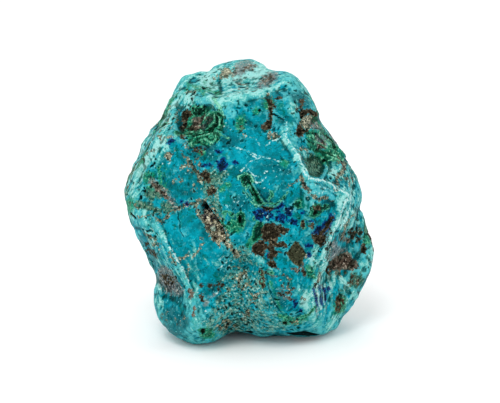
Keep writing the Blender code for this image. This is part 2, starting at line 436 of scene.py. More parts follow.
FRONT_MARKS: Marks = {
    Mineral.DEEP: (
        # painted shade: this line darkens the crease under the ledge
        Line((318, 184, 330, 188, 340, 194), 0.6),
        Patch((290, 92, 302, 89, 312, 102, 310, 110, 300, 108, 292, 102)), Spot(240, 204, 12, 8, 10),
        Spot(238, 222, 12, 10), Spot(229, 140, 11, 8), Spot(268, 102, 8, 8), Spot(180, 322, 10, 10),
        Spot(262, 198, 12, 10, 40), Spot(170, 330, 16, 8),
        # painted shade: the first line here darkens the malachite hollow
        Line((186, 112, 198, 122, 210, 128, 224, 130), 5, 4), Spot(190, 172, 7, 5, 10), Spot(199, 183, 6, 4),
        Spot(251, 103, 6, 4), Spot(256, 112, 3, 4), Spot(246, 122, 9, 6, 10), Spot(283, 120, 7, 5),
        Spot(212, 290, 9, 6), Spot(171, 315, 9, 10), Spot(175, 298, 9, 6), Spot(202, 149, 17, 11),
        Spot(180, 133, 7, 3), Spot(158, 149, 2.5, 3), Spot(279, 167, 14, 5, 20), Spot(232, 277, 5, 6),
        Spot(303, 165, 4, 7), Spot(278, 300, 9, 14, -20), Spot(357, 255, 4, 7, -30), Spot(205, 234, 4, 6),
    ),
    Mineral.PALE_AND_HIGHLIGHT: (
        # partly pale film, partly painted highlight: the bands along the ridges, crests, the lip and over the
        # dish are painted highlight, and the band along the foot is painted light against the shade there
        Patch((307, 264, 311, 250, 317, 240, 324, 242, 321, 256, 318, 268, 318, 278, 310, 279)),
        Line((206, 324, 222, 318, 240, 321, 256, 316), 4, 4),
        Patch((194, 74, 206, 68, 220, 70, 222, 90, 206, 96, 196, 90)),
        Patch((334, 212, 344, 208, 352, 216, 350, 228, 340, 232, 334, 224)),
        Line((322, 148, 332, 156, 338, 166, 330, 172), 3, 3),
        Patch((300, 290, 308, 284, 314, 296, 312, 314, 304, 316, 298, 304)),
        Line((284, 326, 296, 318, 306, 322), 3, 3), Line((184, 266, 190, 276, 196, 288), 2, 3),
        Line((142, 208, 146, 220, 152, 232), 5, 4),
        Patch((212, 78, 222, 68, 236, 58, 256, 56, 270, 62, 280, 72, 262, 84, 240, 88, 220, 88)),
        Patch((202, 100, 206, 92, 214, 92, 222, 96, 226, 108, 220, 108, 212, 102)),
        Line((186, 126, 180, 132, 174, 138), 2, 1.4), Line((352, 190, 356, 204, 350, 222), 3, 3),
        Line((340, 226, 350, 218, 360, 222, 368, 232), 3, 3), Line((148, 262, 152, 276, 160, 288), 4, 3),
        Patch((206, 96, 222, 92, 246, 88, 266, 84, 284, 78, 290, 82, 278, 90, 262, 97, 240, 102, 222, 106,
            210, 108)),
        Line((206, 66, 190, 74, 180, 88), 5, 4), Patch((300, 150, 308, 148, 311, 156, 304, 160)),
        Line((326, 142, 336, 142, 346, 152, 352, 166), 3, 2.5), Line((318, 112, 324, 124, 332, 136), 2.4, 2),
        Patch((290, 102, 297, 100, 300, 112, 298, 120, 291, 118)),
        Line((186, 98, 196, 88, 214, 80, 232, 84, 250, 88), 8, 5),
        Line((220, 68, 200, 72, 186, 80, 178, 92), 6, 4),
        Line((280, 77, 290, 72, 302, 84, 313, 100, 318, 112), 2.4, 1.4),
        Patch((164, 104, 172, 100, 178, 106, 176, 118, 170, 130, 162, 139, 150, 146, 158, 130)),
        Line((162, 140, 152, 152, 142, 164, 134, 180, 130, 198), 8, 6),
        Line((150, 132, 142, 146, 136, 160, 131, 176, 128, 196, 131, 214), 5, 5),
        Line((283, 135, 290, 146, 298, 158, 304, 170), 4.5, 3),
        Line((300, 170, 308, 177, 318, 180, 330, 183, 341, 189, 346, 196), 1.6, 2),
        Patch((324, 164, 335, 162, 344, 168, 346, 178, 338, 180, 327, 176)),
        Line((346, 168, 352, 184, 352, 198), 3, 2.4),
        Line((344, 192, 342, 204, 338, 218, 332, 232, 327, 250, 323, 268, 317, 280, 313, 296, 314, 322),
            5.5, 5),
        Line((150, 217, 158, 226, 164, 238, 171, 251, 178, 263, 186, 275, 191, 288, 195, 306, 195, 328),
            1.6, 2.4),
        Line((172, 262, 182, 278, 188, 292, 192, 310), 2, 2),
        Line((192, 250, 196, 262, 199, 276, 196, 292), 1.2, 1.6),
        Line((132, 216, 142, 228, 150, 238, 157, 250, 166, 262), 2.2, 2.4),
        Line((148, 222, 156, 234, 166, 252, 176, 268), 1.2, 1.4), Line((158, 228, 164, 238, 170, 250), 4, 3),
        Line((192, 252, 190, 262, 188, 276), 2, 2.5),
        Line((222, 236, 232, 246, 248, 254, 258, 262, 268, 268, 284, 274), 3, 1.6),
        Line((256, 252, 262, 262, 272, 270), 2.4), Line((300, 170, 304, 176), 3), Spot(362, 262, 8, 4, -30),
        Line((368, 262, 356, 272, 350, 284, 354, 296), 4, 5), Line((336, 276, 346, 282, 344, 292), 5, 4),
        Patch((326, 272, 334, 270, 338, 280, 332, 296, 326, 290)),
        Patch((160, 92, 176, 90, 184, 100, 176, 112, 164, 118, 158, 110)),
        Line((334, 200, 346, 208, 356, 214), 3, 4), Line((345, 300, 338, 316, 328, 328), 4, 5),
        Spot(320, 296, 9, 20, 4), Spot(160, 262, 6, 3, 60), Spot(158, 302, 4, 7),
        Line((205, 258, 216, 264, 228, 256), 1.5), Line((370, 236, 374, 250, 370, 264), 3),
    ),
    Mineral.MOSS: (
        Patch((307, 157, 312, 153, 321, 155, 324, 162, 323, 172, 320, 177, 311, 175, 306, 171, 305, 163)),
        Patch((350, 276, 354, 271, 362, 274, 366, 278, 362, 286, 354, 289, 350, 286)),
        Patch((340, 290, 345, 292, 345, 300, 340, 306, 336, 300)),
        Patch((199, 176, 208, 172, 218, 170, 226, 171, 223, 180, 215, 187, 211, 196, 203, 194)),
        Patch((150, 182, 158, 181, 164, 184, 170, 192, 160, 198, 150, 200, 143, 194)),
        Patch((160, 202, 170, 198, 176, 204, 172, 214, 162, 212)),
        Patch((204, 196, 211, 194, 220, 202, 224, 212, 218, 212, 210, 204)),
        Line((140, 204, 150, 206, 160, 212), 5, 3),
    ),
    Mineral.GRAIN: (
        Patch((200, 176, 209, 172, 218, 167, 227, 170, 228, 178, 222, 184, 219, 192, 216, 200, 222, 214,
            228, 226, 222, 226, 212, 204, 203, 199, 201, 188)),
        Patch((224, 238, 236, 244, 250, 254, 256, 266, 262, 278, 268, 292, 276, 310, 286, 320, 284, 330,
            262, 332, 240, 331, 222, 334, 204, 336, 206, 318, 216, 306, 222, 292, 222, 280, 230, 268,
            232, 254)),
        Patch((348, 234, 354, 228, 362, 228, 364, 236, 360, 242, 352, 244)),
    ),
    Mineral.GREEN: (
        Patch((190, 102, 204, 105, 210, 109, 222, 112, 225, 124, 221, 136, 208, 143, 194, 144, 186, 138,
            182, 126, 188, 112)),
        Line((168, 98, 164, 112, 160, 124), 2, 1.4), Line((190, 84, 198, 88, 204, 94), 1.4),
        Patch((143, 173, 149, 170, 154, 174, 153, 181, 147, 185, 142, 180)), Line((158, 167, 161, 182), 2),
        Spot(189, 85, 2.4, 3), Spot(269, 103, 5, 6), Spot(234, 226, 8, 7, 30),
        Patch((213, 91, 220, 90, 221, 94, 216, 96)), Spot(256, 110, 3, 4), Spot(130, 204, 4, 8),
        Patch((305, 266, 310, 264, 314, 270, 314, 278, 308, 278)), Spot(223, 188, 4, 3, -30),
        Spot(228, 184, 2.4, 2.6), Patch((198, 330, 206, 326, 216, 332, 214, 338, 202, 338)),
        Patch((306, 132, 312, 128, 319, 132, 318, 141, 322, 150, 328, 146, 334, 144, 341, 152, 345, 158,
            338, 161, 330, 158, 327, 166, 323, 160, 316, 153, 309, 150, 306, 142)),
        Line((270, 280, 274, 292, 279, 304, 286, 315), 0.7, 0.5), Line((280, 316, 296, 322, 306, 318), 2.6),
        Spot(340, 306, 6, 8, 30), Spot(201, 152, 4, 4), Spot(240, 122, 5, 8), Spot(284, 162, 4, 4),
        Line((255, 236, 250, 244), 3), Spot(366, 240, 3, 6), Scatter(200, 88, 14, 7, -10, 9, 0.9, 2.2, 109),
        Scatter(154, 178, 12, 16, 0, 9, 0.9, 2.2, 110),
    ),
    Mineral.SAND: (
        Patch((163, 157, 167, 152, 172, 153, 176, 149, 174, 154, 170, 157, 171, 160, 167, 159)),
        Line((182, 150, 184, 156, 189, 160), 0.7, 1.6),
        Line((189, 161, 193, 168, 197, 172, 200, 179), 1.4, 3),
        Scatter(194, 166, 7, 9, -30, 16, 0.7, 2, 63),
        Line((199, 158, 193, 160, 188, 164, 182, 167), 1, 1.5),
        Patch((200, 172, 205, 169, 210, 176, 212, 182, 206, 183, 201, 180)),
        Patch((208, 186, 213, 184, 218, 188, 215, 193, 209, 195)),
        Line((175, 209, 183, 206, 191, 203, 199, 200), 1.9), Line((166, 218, 170, 212, 176, 207), 1.2),
        Line((130, 202, 136, 206, 140, 206), 0.8),
        Line((138, 216, 146, 217, 151, 213, 156, 217, 162, 222), 1),
        Line((143, 233, 149, 236, 155, 240), 1.6), Scatter(158, 244, 8, 5, 50, 8, 0.8, 1.8, 3),
        Scatter(178, 182, 4, 7, 0, 9, 0.5, 1.3, 4), Scatter(192, 187, 6, 3, 0, 9, 0.5, 1.3, 5),
        Line((185, 194, 189, 190), 0.7),
        Line((200, 199, 195, 206, 198, 214, 203, 221, 208, 229, 213, 237, 220, 245), 2.2, 1.8),
        Line((205, 199, 210, 205, 216, 212, 221, 220, 227, 230, 228, 238), 1.5, 1.2),
        Line((204, 216, 212, 228, 220, 238), 4.6, 4),
        Line((224, 242, 230, 246, 234, 250, 240, 252), 2, 1.4), Spot(237, 253, 4, 4),
        Scatter(236, 262, 4, 8, 0, 9, 0.6, 1.5, 6), Line((287, 187, 293, 183, 299, 178, 302, 174), 1.3),
        Line((301, 178, 304, 185, 309, 190), 3, 2.2), Line((312, 195, 318, 197, 326, 196), 1.8),
        Scatter(338, 185, 7, 5, 20, 12, 0.8, 2, 104), Line((338, 158, 345, 163, 343, 170, 338, 176), 2.2),
        Patch((303, 115, 311, 113, 317, 118, 313, 127, 308, 131, 304, 127, 301, 121)),
        Line((302, 148, 306, 149), 1.2), Line((298, 150, 303, 157, 307, 162), 1.2),
        Line((267, 94, 270, 104, 271, 116, 269, 126, 269, 138), 2, 2),
        Patch((270, 134, 276, 131, 279, 136, 274, 140)), Scatter(227, 74, 8, 6, -10, 14, 1.4, 3, 7),
        Patch((219, 71, 226, 66, 233, 70, 231, 77, 225, 79)), Scatter(214, 76, 5, 4, 0, 8, 0.9, 2, 8),
        Scatter(242, 88, 9, 4, 0, 10, 0.5, 1.1, 9), Line((172, 104, 170, 116, 164, 128, 160, 138), 0.7),
        Line((176, 106, 176, 118, 171, 128), 0.5), Line((148, 154, 154, 149), 1),
        Line((164, 139, 170, 136, 174, 137), 1), Line((186, 92, 192, 90, 196, 92), 1),
        Scatter(186, 144, 4, 2, 40, 4, 0.6, 1.2, 10), Line((170, 252, 174, 260, 177, 264), 1.2),
        Line((180, 258, 185, 255, 188, 253), 0.8), Line((202, 238, 204, 243, 198, 250, 193, 255), 1.3, 0.8),
        Line((189, 262, 187, 276), 0.7), Scatter(243, 130, 4, 5, 0, 7, 0.6, 1.8, 11),
        Scatter(180, 321, 7, 5, -30, 10, 0.8, 1.6, 12), Scatter(164, 318, 2, 8, 0, 6, 0.6, 1.3, 13),
        Scatter(226, 324, 10, 4, 0, 12, 1.4, 3, 14), Scatter(240, 286, 12, 22, 12, 16, 0.5, 1.4, 57),
        Scatter(244, 280, 6, 9, 0, 15, 1.5, 3, 62), Scatter(245, 316, 5, 5, 0, 8, 1.8, 3.4, 15),
        Scatter(254, 298, 4, 5, 0, 8, 1.8, 3.2, 16), Scatter(304, 298, 4, 2, 0, 4, 0.8, 1.6, 17),
        Scatter(283, 286, 9, 9, 0, 10, 0.8, 1.8, 106), Scatter(340, 272, 11, 4, 0, 18, 0.6, 1.6, 18),
        Line((320, 268, 316, 284, 314, 290), 1.2, 0.8), Line((349, 220, 345, 230, 342, 240), 2, 1.4),
        Scatter(356, 216, 4, 4, 30, 8, 0.8, 2, 19), Scatter(296, 322, 5, 3, 0, 7, 0.5, 1.2, 20),
        Line((264, 272, 274, 276, 284, 274, 290, 279), 1, 0.7), Spot(331, 200, 1.6, 1, 20),
        Spot(306, 256, 1.4, 2.2), Line((348, 187, 352, 180, 350, 172), 0.8),
    ),
    Mineral.SLATE: (
        Patch((232, 66, 240, 60, 250, 59, 259, 65, 252, 70, 246, 73, 240, 76, 233, 75)),
        Patch((257, 84, 262, 77, 269, 71, 279, 71, 277, 79, 268, 87, 261, 91, 257, 89)),
        Patch((231, 79, 236, 80, 240, 79, 241, 83, 237, 85, 232, 82)),
        Line((151, 181, 157, 187, 164, 192, 171, 200), 3.6, 3),
        Line((168, 198, 173, 203, 176, 209), 1.8, 1.3),
        Patch((311, 122, 317, 120, 322, 127, 328, 132, 319, 130, 312, 127)),
        Patch((316, 133, 324, 134, 331, 138, 328, 143, 324, 149, 318, 148, 315, 140)),
        Line((201, 125, 206, 122, 210, 118), 1.7, 1.2),
        Patch((329, 243, 336, 240, 340, 246, 345, 250, 338, 257, 331, 262, 327, 256)),
        Line((316, 292, 317, 304, 318, 316), 2.4, 1.2), Line((324, 286, 325, 298, 326, 308), 2, 1.2),
        Line((320, 276, 322, 288), 1.4), Line((205, 304, 208, 299, 212, 296, 215, 295), 1.4, 1),
        Patch((156, 276, 160, 264, 170, 270, 178, 282, 184, 292, 176, 296, 162, 292)),
        Patch((323, 238, 328, 230, 332, 220, 334, 212, 331, 226, 328, 238, 324, 247)),
        Scatter(284, 292, 8, 6, 0, 8, 0.7, 1.6, 21),
    ),
    Mineral.MALACHITE: (
        Patch((190, 105, 197, 104, 203, 107, 206, 111, 200, 116, 193, 116, 189, 111)),
        Patch((209, 110, 216, 110, 222, 113, 224, 121, 222, 128, 215, 131, 206, 131, 201, 128, 210, 123,
            213, 118, 210, 114)),
        Line((177, 133, 186, 134, 192, 132, 200, 133, 208, 131), 2.2, 2.6),
        Line((191, 143, 196, 138, 204, 137, 212, 135, 217, 132, 223, 135, 229, 138), 2.6, 0.6),
        Patch((213, 136, 217, 132, 220, 139, 217, 142, 213, 141)),
        Patch((240, 175, 246, 173, 251, 175, 254, 182, 251, 187, 243, 187, 240, 182)),
        Patch((249, 187, 254, 185, 258, 191, 261, 198, 264, 204, 260, 206, 255, 202, 252, 196)),
        Line((264, 203, 270, 203, 277, 203, 283, 198, 287, 191), 1.1, 0.9),
        Patch((269, 189, 273, 190, 274, 196, 269, 201, 266, 199, 270, 195)),
        Patch((235, 215, 238, 211, 242, 209, 245, 214, 246, 222, 244, 228, 239, 226, 235, 221)),
        Line((224, 212, 229, 211, 232, 215), 1.8), Line((221, 221, 226, 226, 230, 228), 1.8),
        Line((226, 214, 225, 220), 1.2), Patch((294, 201, 299, 199, 303, 202, 302, 207, 298, 209, 294, 206)),
        Patch((309, 209, 313, 204, 318, 202, 323, 206, 320, 212, 313, 218, 309, 216)),
        Patch((321, 203, 327, 203, 330, 208, 325, 210, 320, 209)),
        Patch((257, 220, 263, 222, 266, 228, 264, 235, 260, 240, 253, 243, 250, 239, 253, 230)),
        Line((258, 212, 254, 219), 1.6), Spot(303, 225, 2.6, 4.6, -10),
        Line((316, 306, 309, 314, 302, 317), 1.6), Patch((281, 320, 287, 319, 290, 324, 284, 325)),
        Spot(262, 274, 2.4, 4, -20), Spot(262, 284, 3, 4, -20), Spot(286, 160, 1.6, 1.2),
        Spot(271, 272, 3, 1.6, 20),
    ),
    Mineral.AZURITE: (
        Patch((214, 160, 219, 160, 221, 157, 225, 157, 227, 163, 225, 169, 220, 171, 217, 167, 218, 163)),
        Spot(219.5, 151, 3, 1.7), Spot(206.5, 164, 2.6, 1.5), Spot(235, 162, 1.6, 1.1),
        Patch((256, 216, 259, 213, 262, 209, 266, 207, 270, 208, 266, 211, 263, 214, 264, 219, 258, 219)),
        Scatter(262, 213, 8, 5, -30, 12, 1.2, 2.8, 105),
        Patch((312, 236, 317, 230, 324, 226, 331, 214, 334, 218, 329, 228, 322, 236)),
        Scatter(282, 212, 9, 8, 0, 14, 0.8, 2.2, 58), Line((272, 209, 278, 207, 282, 206), 1.2),
        Line((277, 218, 280, 215, 284, 217), 1.6), Spot(289, 213, 2.4, 2, 40),
        Patch((288, 219, 293, 218, 297, 221, 296, 226, 292, 223)), Spot(302, 212, 1.6, 1.2, 40),
        Patch((311, 232, 316, 228, 322, 225, 326, 220, 329, 224, 324, 230, 317, 233)), Spot(311, 221, 2, 1),
        Spot(310, 246, 3, 2), Spot(310, 255, 1.6, 2),
        Patch((266, 256, 270, 252, 274, 252, 271, 256, 267, 258)),
        Patch((293, 300, 297, 299, 298, 304, 295, 308)), Spot(301, 311, 1.6, 1.4), Spot(181, 201, 1.6, 1.6),
        Spot(187, 203, 1.2, 1.2), Line((314, 288, 316, 298, 317, 306), 0.9, 0.5),
        Line((319, 284, 321, 296, 322, 306), 0.5), Line((325, 288, 326, 300), 0.7), Spot(329, 288, 2, 1.4),
        Spot(171, 140, 3.6, 2.2, -20), Scatter(276, 216, 13, 6, 10, 10, 0.9, 1.8, 108),
    ),
    Mineral.RUST: (
        Scatter(246, 68, 12, 5, 0, 9, 0.6, 1.4, 53), Scatter(266, 80, 8, 5, -40, 9, 0.8, 1.8, 59),
        Patch((190, 118, 197, 117, 204, 114, 206, 117, 200, 121, 193, 122)),
        Patch((190, 122, 196, 122, 199, 126, 194, 129, 189, 126)),
        Patch((291, 268, 296, 268, 300, 270, 297, 274, 295, 271)), Spot(346, 178, 2, 1.2),
        Line((303, 182, 306, 187), 1.3), Line((153, 184, 160, 190, 167, 197), 1.8, 1.2),
        Spot(351, 178, 1, 1.4), Line((190, 289, 191, 297), 1.3), Line((194, 308, 193.5, 315), 1.2),
        Patch((330, 262, 336, 256, 344, 252, 351, 255, 357, 262, 359, 267, 352, 270, 344, 268, 336, 270,
            331, 268)),
        Patch((318, 143, 324, 143, 325, 148, 319, 148)),
        Patch((298, 126, 303, 124, 307, 130, 303, 136, 298, 133)),
        Scatter(347, 237, 4, 7, 20, 9, 0.7, 1.6, 50), Scatter(302, 263, 4, 5, 0, 6, 0.6, 1.3, 51),
        Spot(290, 298, 1.6, 1.2),
    ),
    Mineral.UMBER: (
        Patch((180, 111, 184, 107, 188, 109, 189, 114, 185, 119, 181, 118)),
        Scatter(187, 124, 5, 5, 40, 9, 1, 2.2, 60), Scatter(198, 150, 9, 5, 0, 10, 0.6, 1.5, 54),
        Spot(182.5, 137, 2.4, 1.6, 20), Patch((199, 173, 204, 171, 209, 176, 210, 180, 206, 181, 201, 178)),
        Patch((208, 190, 213, 188, 216, 190, 213, 193, 209, 194)),
        Patch((266, 97, 271, 97, 272, 102, 276, 105, 272, 106, 269, 103)),
        Patch((276, 96, 280, 95, 281, 98, 277, 99)),
        Patch((263, 126, 268, 120, 272, 121, 270, 127, 266, 129)), Line((271, 108, 271, 118), 1.4),
        Line((303, 112, 310, 110, 317, 114), 2.2, 1.2),
        Patch((299, 124, 304, 126, 309, 131, 303, 133, 300, 137, 297, 132)),
        Scatter(299, 104, 4, 7, 20, 9, 0.6, 1.6, 22),
        Patch((264, 226, 268, 224, 273, 222, 274, 227, 279, 229, 280, 236, 276, 240, 277, 246, 270, 245,
            266, 241, 262, 240, 262, 236)),
        Patch((276, 226, 280, 225, 284, 228, 288, 229, 285, 233, 280, 232)),
        Patch((254, 245, 259, 242, 264, 242, 267, 247, 264, 252, 262, 257, 257, 254, 253, 250)),
        Patch((266, 247, 272, 246, 274, 251, 280, 252, 276, 257, 272, 260, 268, 259, 270, 254)),
        Patch((273, 243, 278, 242, 283, 242, 286, 246, 281, 246, 276, 247)),
        Patch((311, 234, 316, 234, 322, 235, 327, 232, 326, 240, 322, 247, 317, 244, 314, 239)),
        Spot(311.5, 225, 1.6, 2), Spot(303, 225, 1.2, 3),
        Patch((267, 263, 273, 262, 276, 263, 277, 268, 273, 266, 270, 266)), Line((303, 270, 304, 274), 1.2),
        Patch((328, 242, 333, 241, 329, 249, 327, 256, 325, 258, 327, 249)),
        Patch((328, 266, 331, 266, 332, 274, 329, 272)), Spot(364, 249, 2.2, 4), Spot(332, 233, 1.8, 1.6),
        Line((321, 234, 327, 227, 332, 218), 1, 0.5), Scatter(356, 234, 7, 7, 0, 12, 0.8, 1.8, 23),
        Scatter(355, 281, 5, 5, 30, 7, 1, 2, 24), Scatter(338, 304, 4, 10, 30, 9, 0.8, 1.8, 25),
        Line((200, 293, 202, 300), 0.7), Spot(210, 286, 1.4, 1.8), Spot(202, 286, 1.2, 1.4),
        Scatter(220, 285, 5, 6, 0, 6, 0.7, 1.6, 26), Scatter(284, 288, 9, 9, 0, 7, 0.6, 1.3, 27),
        Scatter(150, 250, 8, 4, 60, 8, 0.7, 1.6, 28), Scatter(170, 279, 8, 4, 0, 8, 0.7, 1.8, 29),
        Spot(316, 285, 1.4, 2.4), Spot(262, 284, 1.6, 2.6, -20), Spot(262, 274, 1.2, 2.6, -20),
        Line((262, 206, 268, 209, 272, 207), 1.2), Spot(316, 207, 2, 1.4),
    ),
    Mineral.OLIVE: (
        Patch((285, 253, 291, 249, 295, 241, 299, 243, 304, 250, 306, 254, 304, 260, 301, 267, 297, 266,
            291, 260)),
    ),
    Mineral.MINT: (
        Line((202, 122, 204, 116, 209, 111, 214, 112, 219, 117, 220, 124, 217, 130), 0.8),
        Line((208, 125, 214, 120, 214, 114), 0.6), Line((211, 108, 218, 109, 223, 114), 0.9),
        Line((190, 145, 195, 138, 202, 135, 210, 134, 215, 130, 221, 134, 230, 138), 0.8),
        Line((204, 138, 208, 141, 213, 142, 216, 138, 216, 133), 0.6),
        Line((200, 128, 194, 130, 188, 128), 1.2),
        Line((238, 180, 239, 175, 245, 172, 251, 175, 253, 181), 0.8),
        Line((246, 187, 243, 189, 247, 195, 251, 202, 257, 207), 0.6),
        Line((214, 98, 220, 106, 225, 118), 1.2),
        Line((308, 136, 314, 134, 318, 142, 326, 148, 334, 148, 342, 156), 0.9, 0.6),
        Line((318, 130, 322, 138, 330, 140, 336, 146), 0.7), Line((322, 160, 326, 154, 332, 156), 0.7),
        Line((326, 142, 332, 147, 338, 152, 343, 159), 1.1), Line((321, 151, 329, 151, 336, 155), 1),
        Line((328, 160, 334, 157, 340, 160), 0.9), Line((312, 134, 315, 140, 316, 148), 0.8),
        Scatter(312, 268, 4, 9, 0, 9, 0.7, 1.8, 107),
        Line((264, 204, 269, 206, 275, 206, 280, 203, 284, 197), 0.8, 0.4),
        Line((248, 186, 246, 189, 252, 198, 256, 204, 262, 207), 0.7),
    ),
    Mineral.VEIN: (
        Line((234, 146, 242, 149, 250, 152, 258, 156), 0.6, 0.5), Line((250, 154, 256, 158), 0.4),
        Line((259, 156, 266, 157, 275, 159, 281, 161), 0.6, 0.4),
        Line((260, 157, 252, 161, 245, 165, 241, 170), 0.5, 0.7),
        Line((266, 146, 271, 141, 278, 138, 284, 134), 0.6, 0.9),
        Line((287, 120, 287, 128, 285, 135), 0.8, 0.6),
        # partly pale vein, partly painted highlight: the next lines follow the right ridge, the ledge's crest
        # and the right and lower left crests
        Line((284, 134, 292, 146, 299, 157, 306, 172), 1, 0.7),
        Line((303, 172, 309, 178, 318, 180, 330, 183, 341, 190, 347, 198), 1.3, 0.9),
        Line((346, 200, 342, 212, 336, 226, 330, 240, 326, 254, 321, 268), 1.2, 0.8),
        Line((352, 188, 352, 202, 347, 216, 341, 230), 0.8, 0.6),
        Line((166, 240, 174, 254, 184, 270, 190, 284), 1, 0.6),
        Line((310, 184, 320, 186, 332, 190, 341, 197), 0.5, 0.4),
        Line((310, 191, 317, 192, 324, 191, 330, 194), 0.6, 0.4),
        Line((306, 192, 308, 199, 313, 203), 0.5, 0.3), Line((250, 137, 256, 138, 260, 145), 0.5),
        Line((256, 182, 261, 181, 265, 177), 0.5), Line((246, 166, 254, 175, 256, 184), 0.3),
        Line((232, 200, 236, 201, 240, 200), 0.3), Line((224, 203, 228, 206), 0.35),
        Line((317, 284, 319, 297, 320, 308), 0.7, 0.4), Line((322, 282, 324, 294, 324, 306), 0.6, 0.4),
        Line((312, 290, 313, 304), 0.6), Line((216, 263, 226, 256), 0.4, 0.2),
        Line((221, 267, 232, 259), 0.5, 0.2), Line((226, 269, 234, 262), 0.4, 0.2),
        Line((162, 163, 168, 163, 174, 159, 179, 158), 0.5), Scatter(278, 196, 26, 30, 0, 22, 0.2, 0.5, 30),
        Scatter(262, 172, 16, 12, 0, 14, 0.2, 0.45, 31), Scatter(240, 300, 22, 26, 20, 60, 0.3, 0.9, 32),
        Spot(217, 292, 1.3, 1.5), Spot(225, 298, 1.6, 1.1, -30), Line((206, 308, 207, 312, 209, 314), 0.5),
        Scatter(226, 122, 14, 12, 0, 14, 0.3, 0.6, 34),
    ),
    Mineral.PIT_SHADE: (
        # painted shade: near-black holes and cracks, the vug's dark mouth, and below, the undercut along the
        # foot
        Scatter(199, 109, 9, 6, 0, 12, 0.7, 1.7, 55), Scatter(196, 92, 9, 5, -30, 7, 0.6, 1.4, 56),
        Line((250, 189, 253, 194), 0.5, 0.3),
        Line((177, 211, 178, 216, 181, 222, 180, 229, 183, 236), 0.2, 0.1), Spot(258, 199, 0.8, 1.4, -30),
        Spot(239.5, 219, 1.6, 3.6, -8), Spot(314, 212, 1.2, 2, 30), Spot(145, 191, 1.7, 1.5),
        Spot(140, 196.5, 1.6, 1.5), Spot(157, 183.5, 1.3, 1.3), Spot(144, 187, 1, 1),
        Line((131, 212, 135, 218), 1, 0.7), Line((272, 113, 278, 116, 284, 119), 1.1, 0.5),
        Patch((200, 202, 204, 200.5, 208, 206, 210, 212, 210, 217, 205, 218, 201, 213, 199, 207)),
        Line((216, 224, 222, 230, 225, 236, 223, 242), 1.3, 0.9), Spot(260, 109.5, 1.3, 1.6),
        Spot(246, 104, 1.6, 1, -20), Spot(234, 250, 1.2, 1.8),
        # painted shade: the dark undercut along the stone's foot
        Patch((234, 333, 240, 331, 252, 331, 256, 332, 250, 334, 240, 334)),
        Patch((286, 332, 300, 331, 318, 334, 322, 337, 306, 339, 294, 337)), Spot(285, 323, 2.2, 1.4, 20),
        Spot(332, 244, 1.2, 2.6, 30), Spot(329, 262, 1, 1.8), Spot(330, 270, 1, 1.8),
        Scatter(300, 110, 5, 8, 0, 7, 0.5, 1.1, 35), Scatter(238, 298, 20, 32, 10, 60, 0.3, 1, 36),
        Scatter(150, 236, 12, 4, 55, 12, 0.5, 1.2, 37), Scatter(346, 206, 5, 14, 15, 12, 0.4, 1, 38),
        Scatter(352, 236, 8, 8, 0, 9, 0.5, 1.2, 39), Spot(203, 331, 1.6, 3, 20),
        Scatter(166, 108, 3, 14, 15, 9, 0.4, 0.9, 40), Line((150, 166, 154, 162), 0.8),
        Spot(325, 160, 1.6, 1.4), Spot(348, 194, 1, 1.8), Scatter(280, 214, 20, 12, 0, 10, 0.4, 0.9, 41),
    ),
}


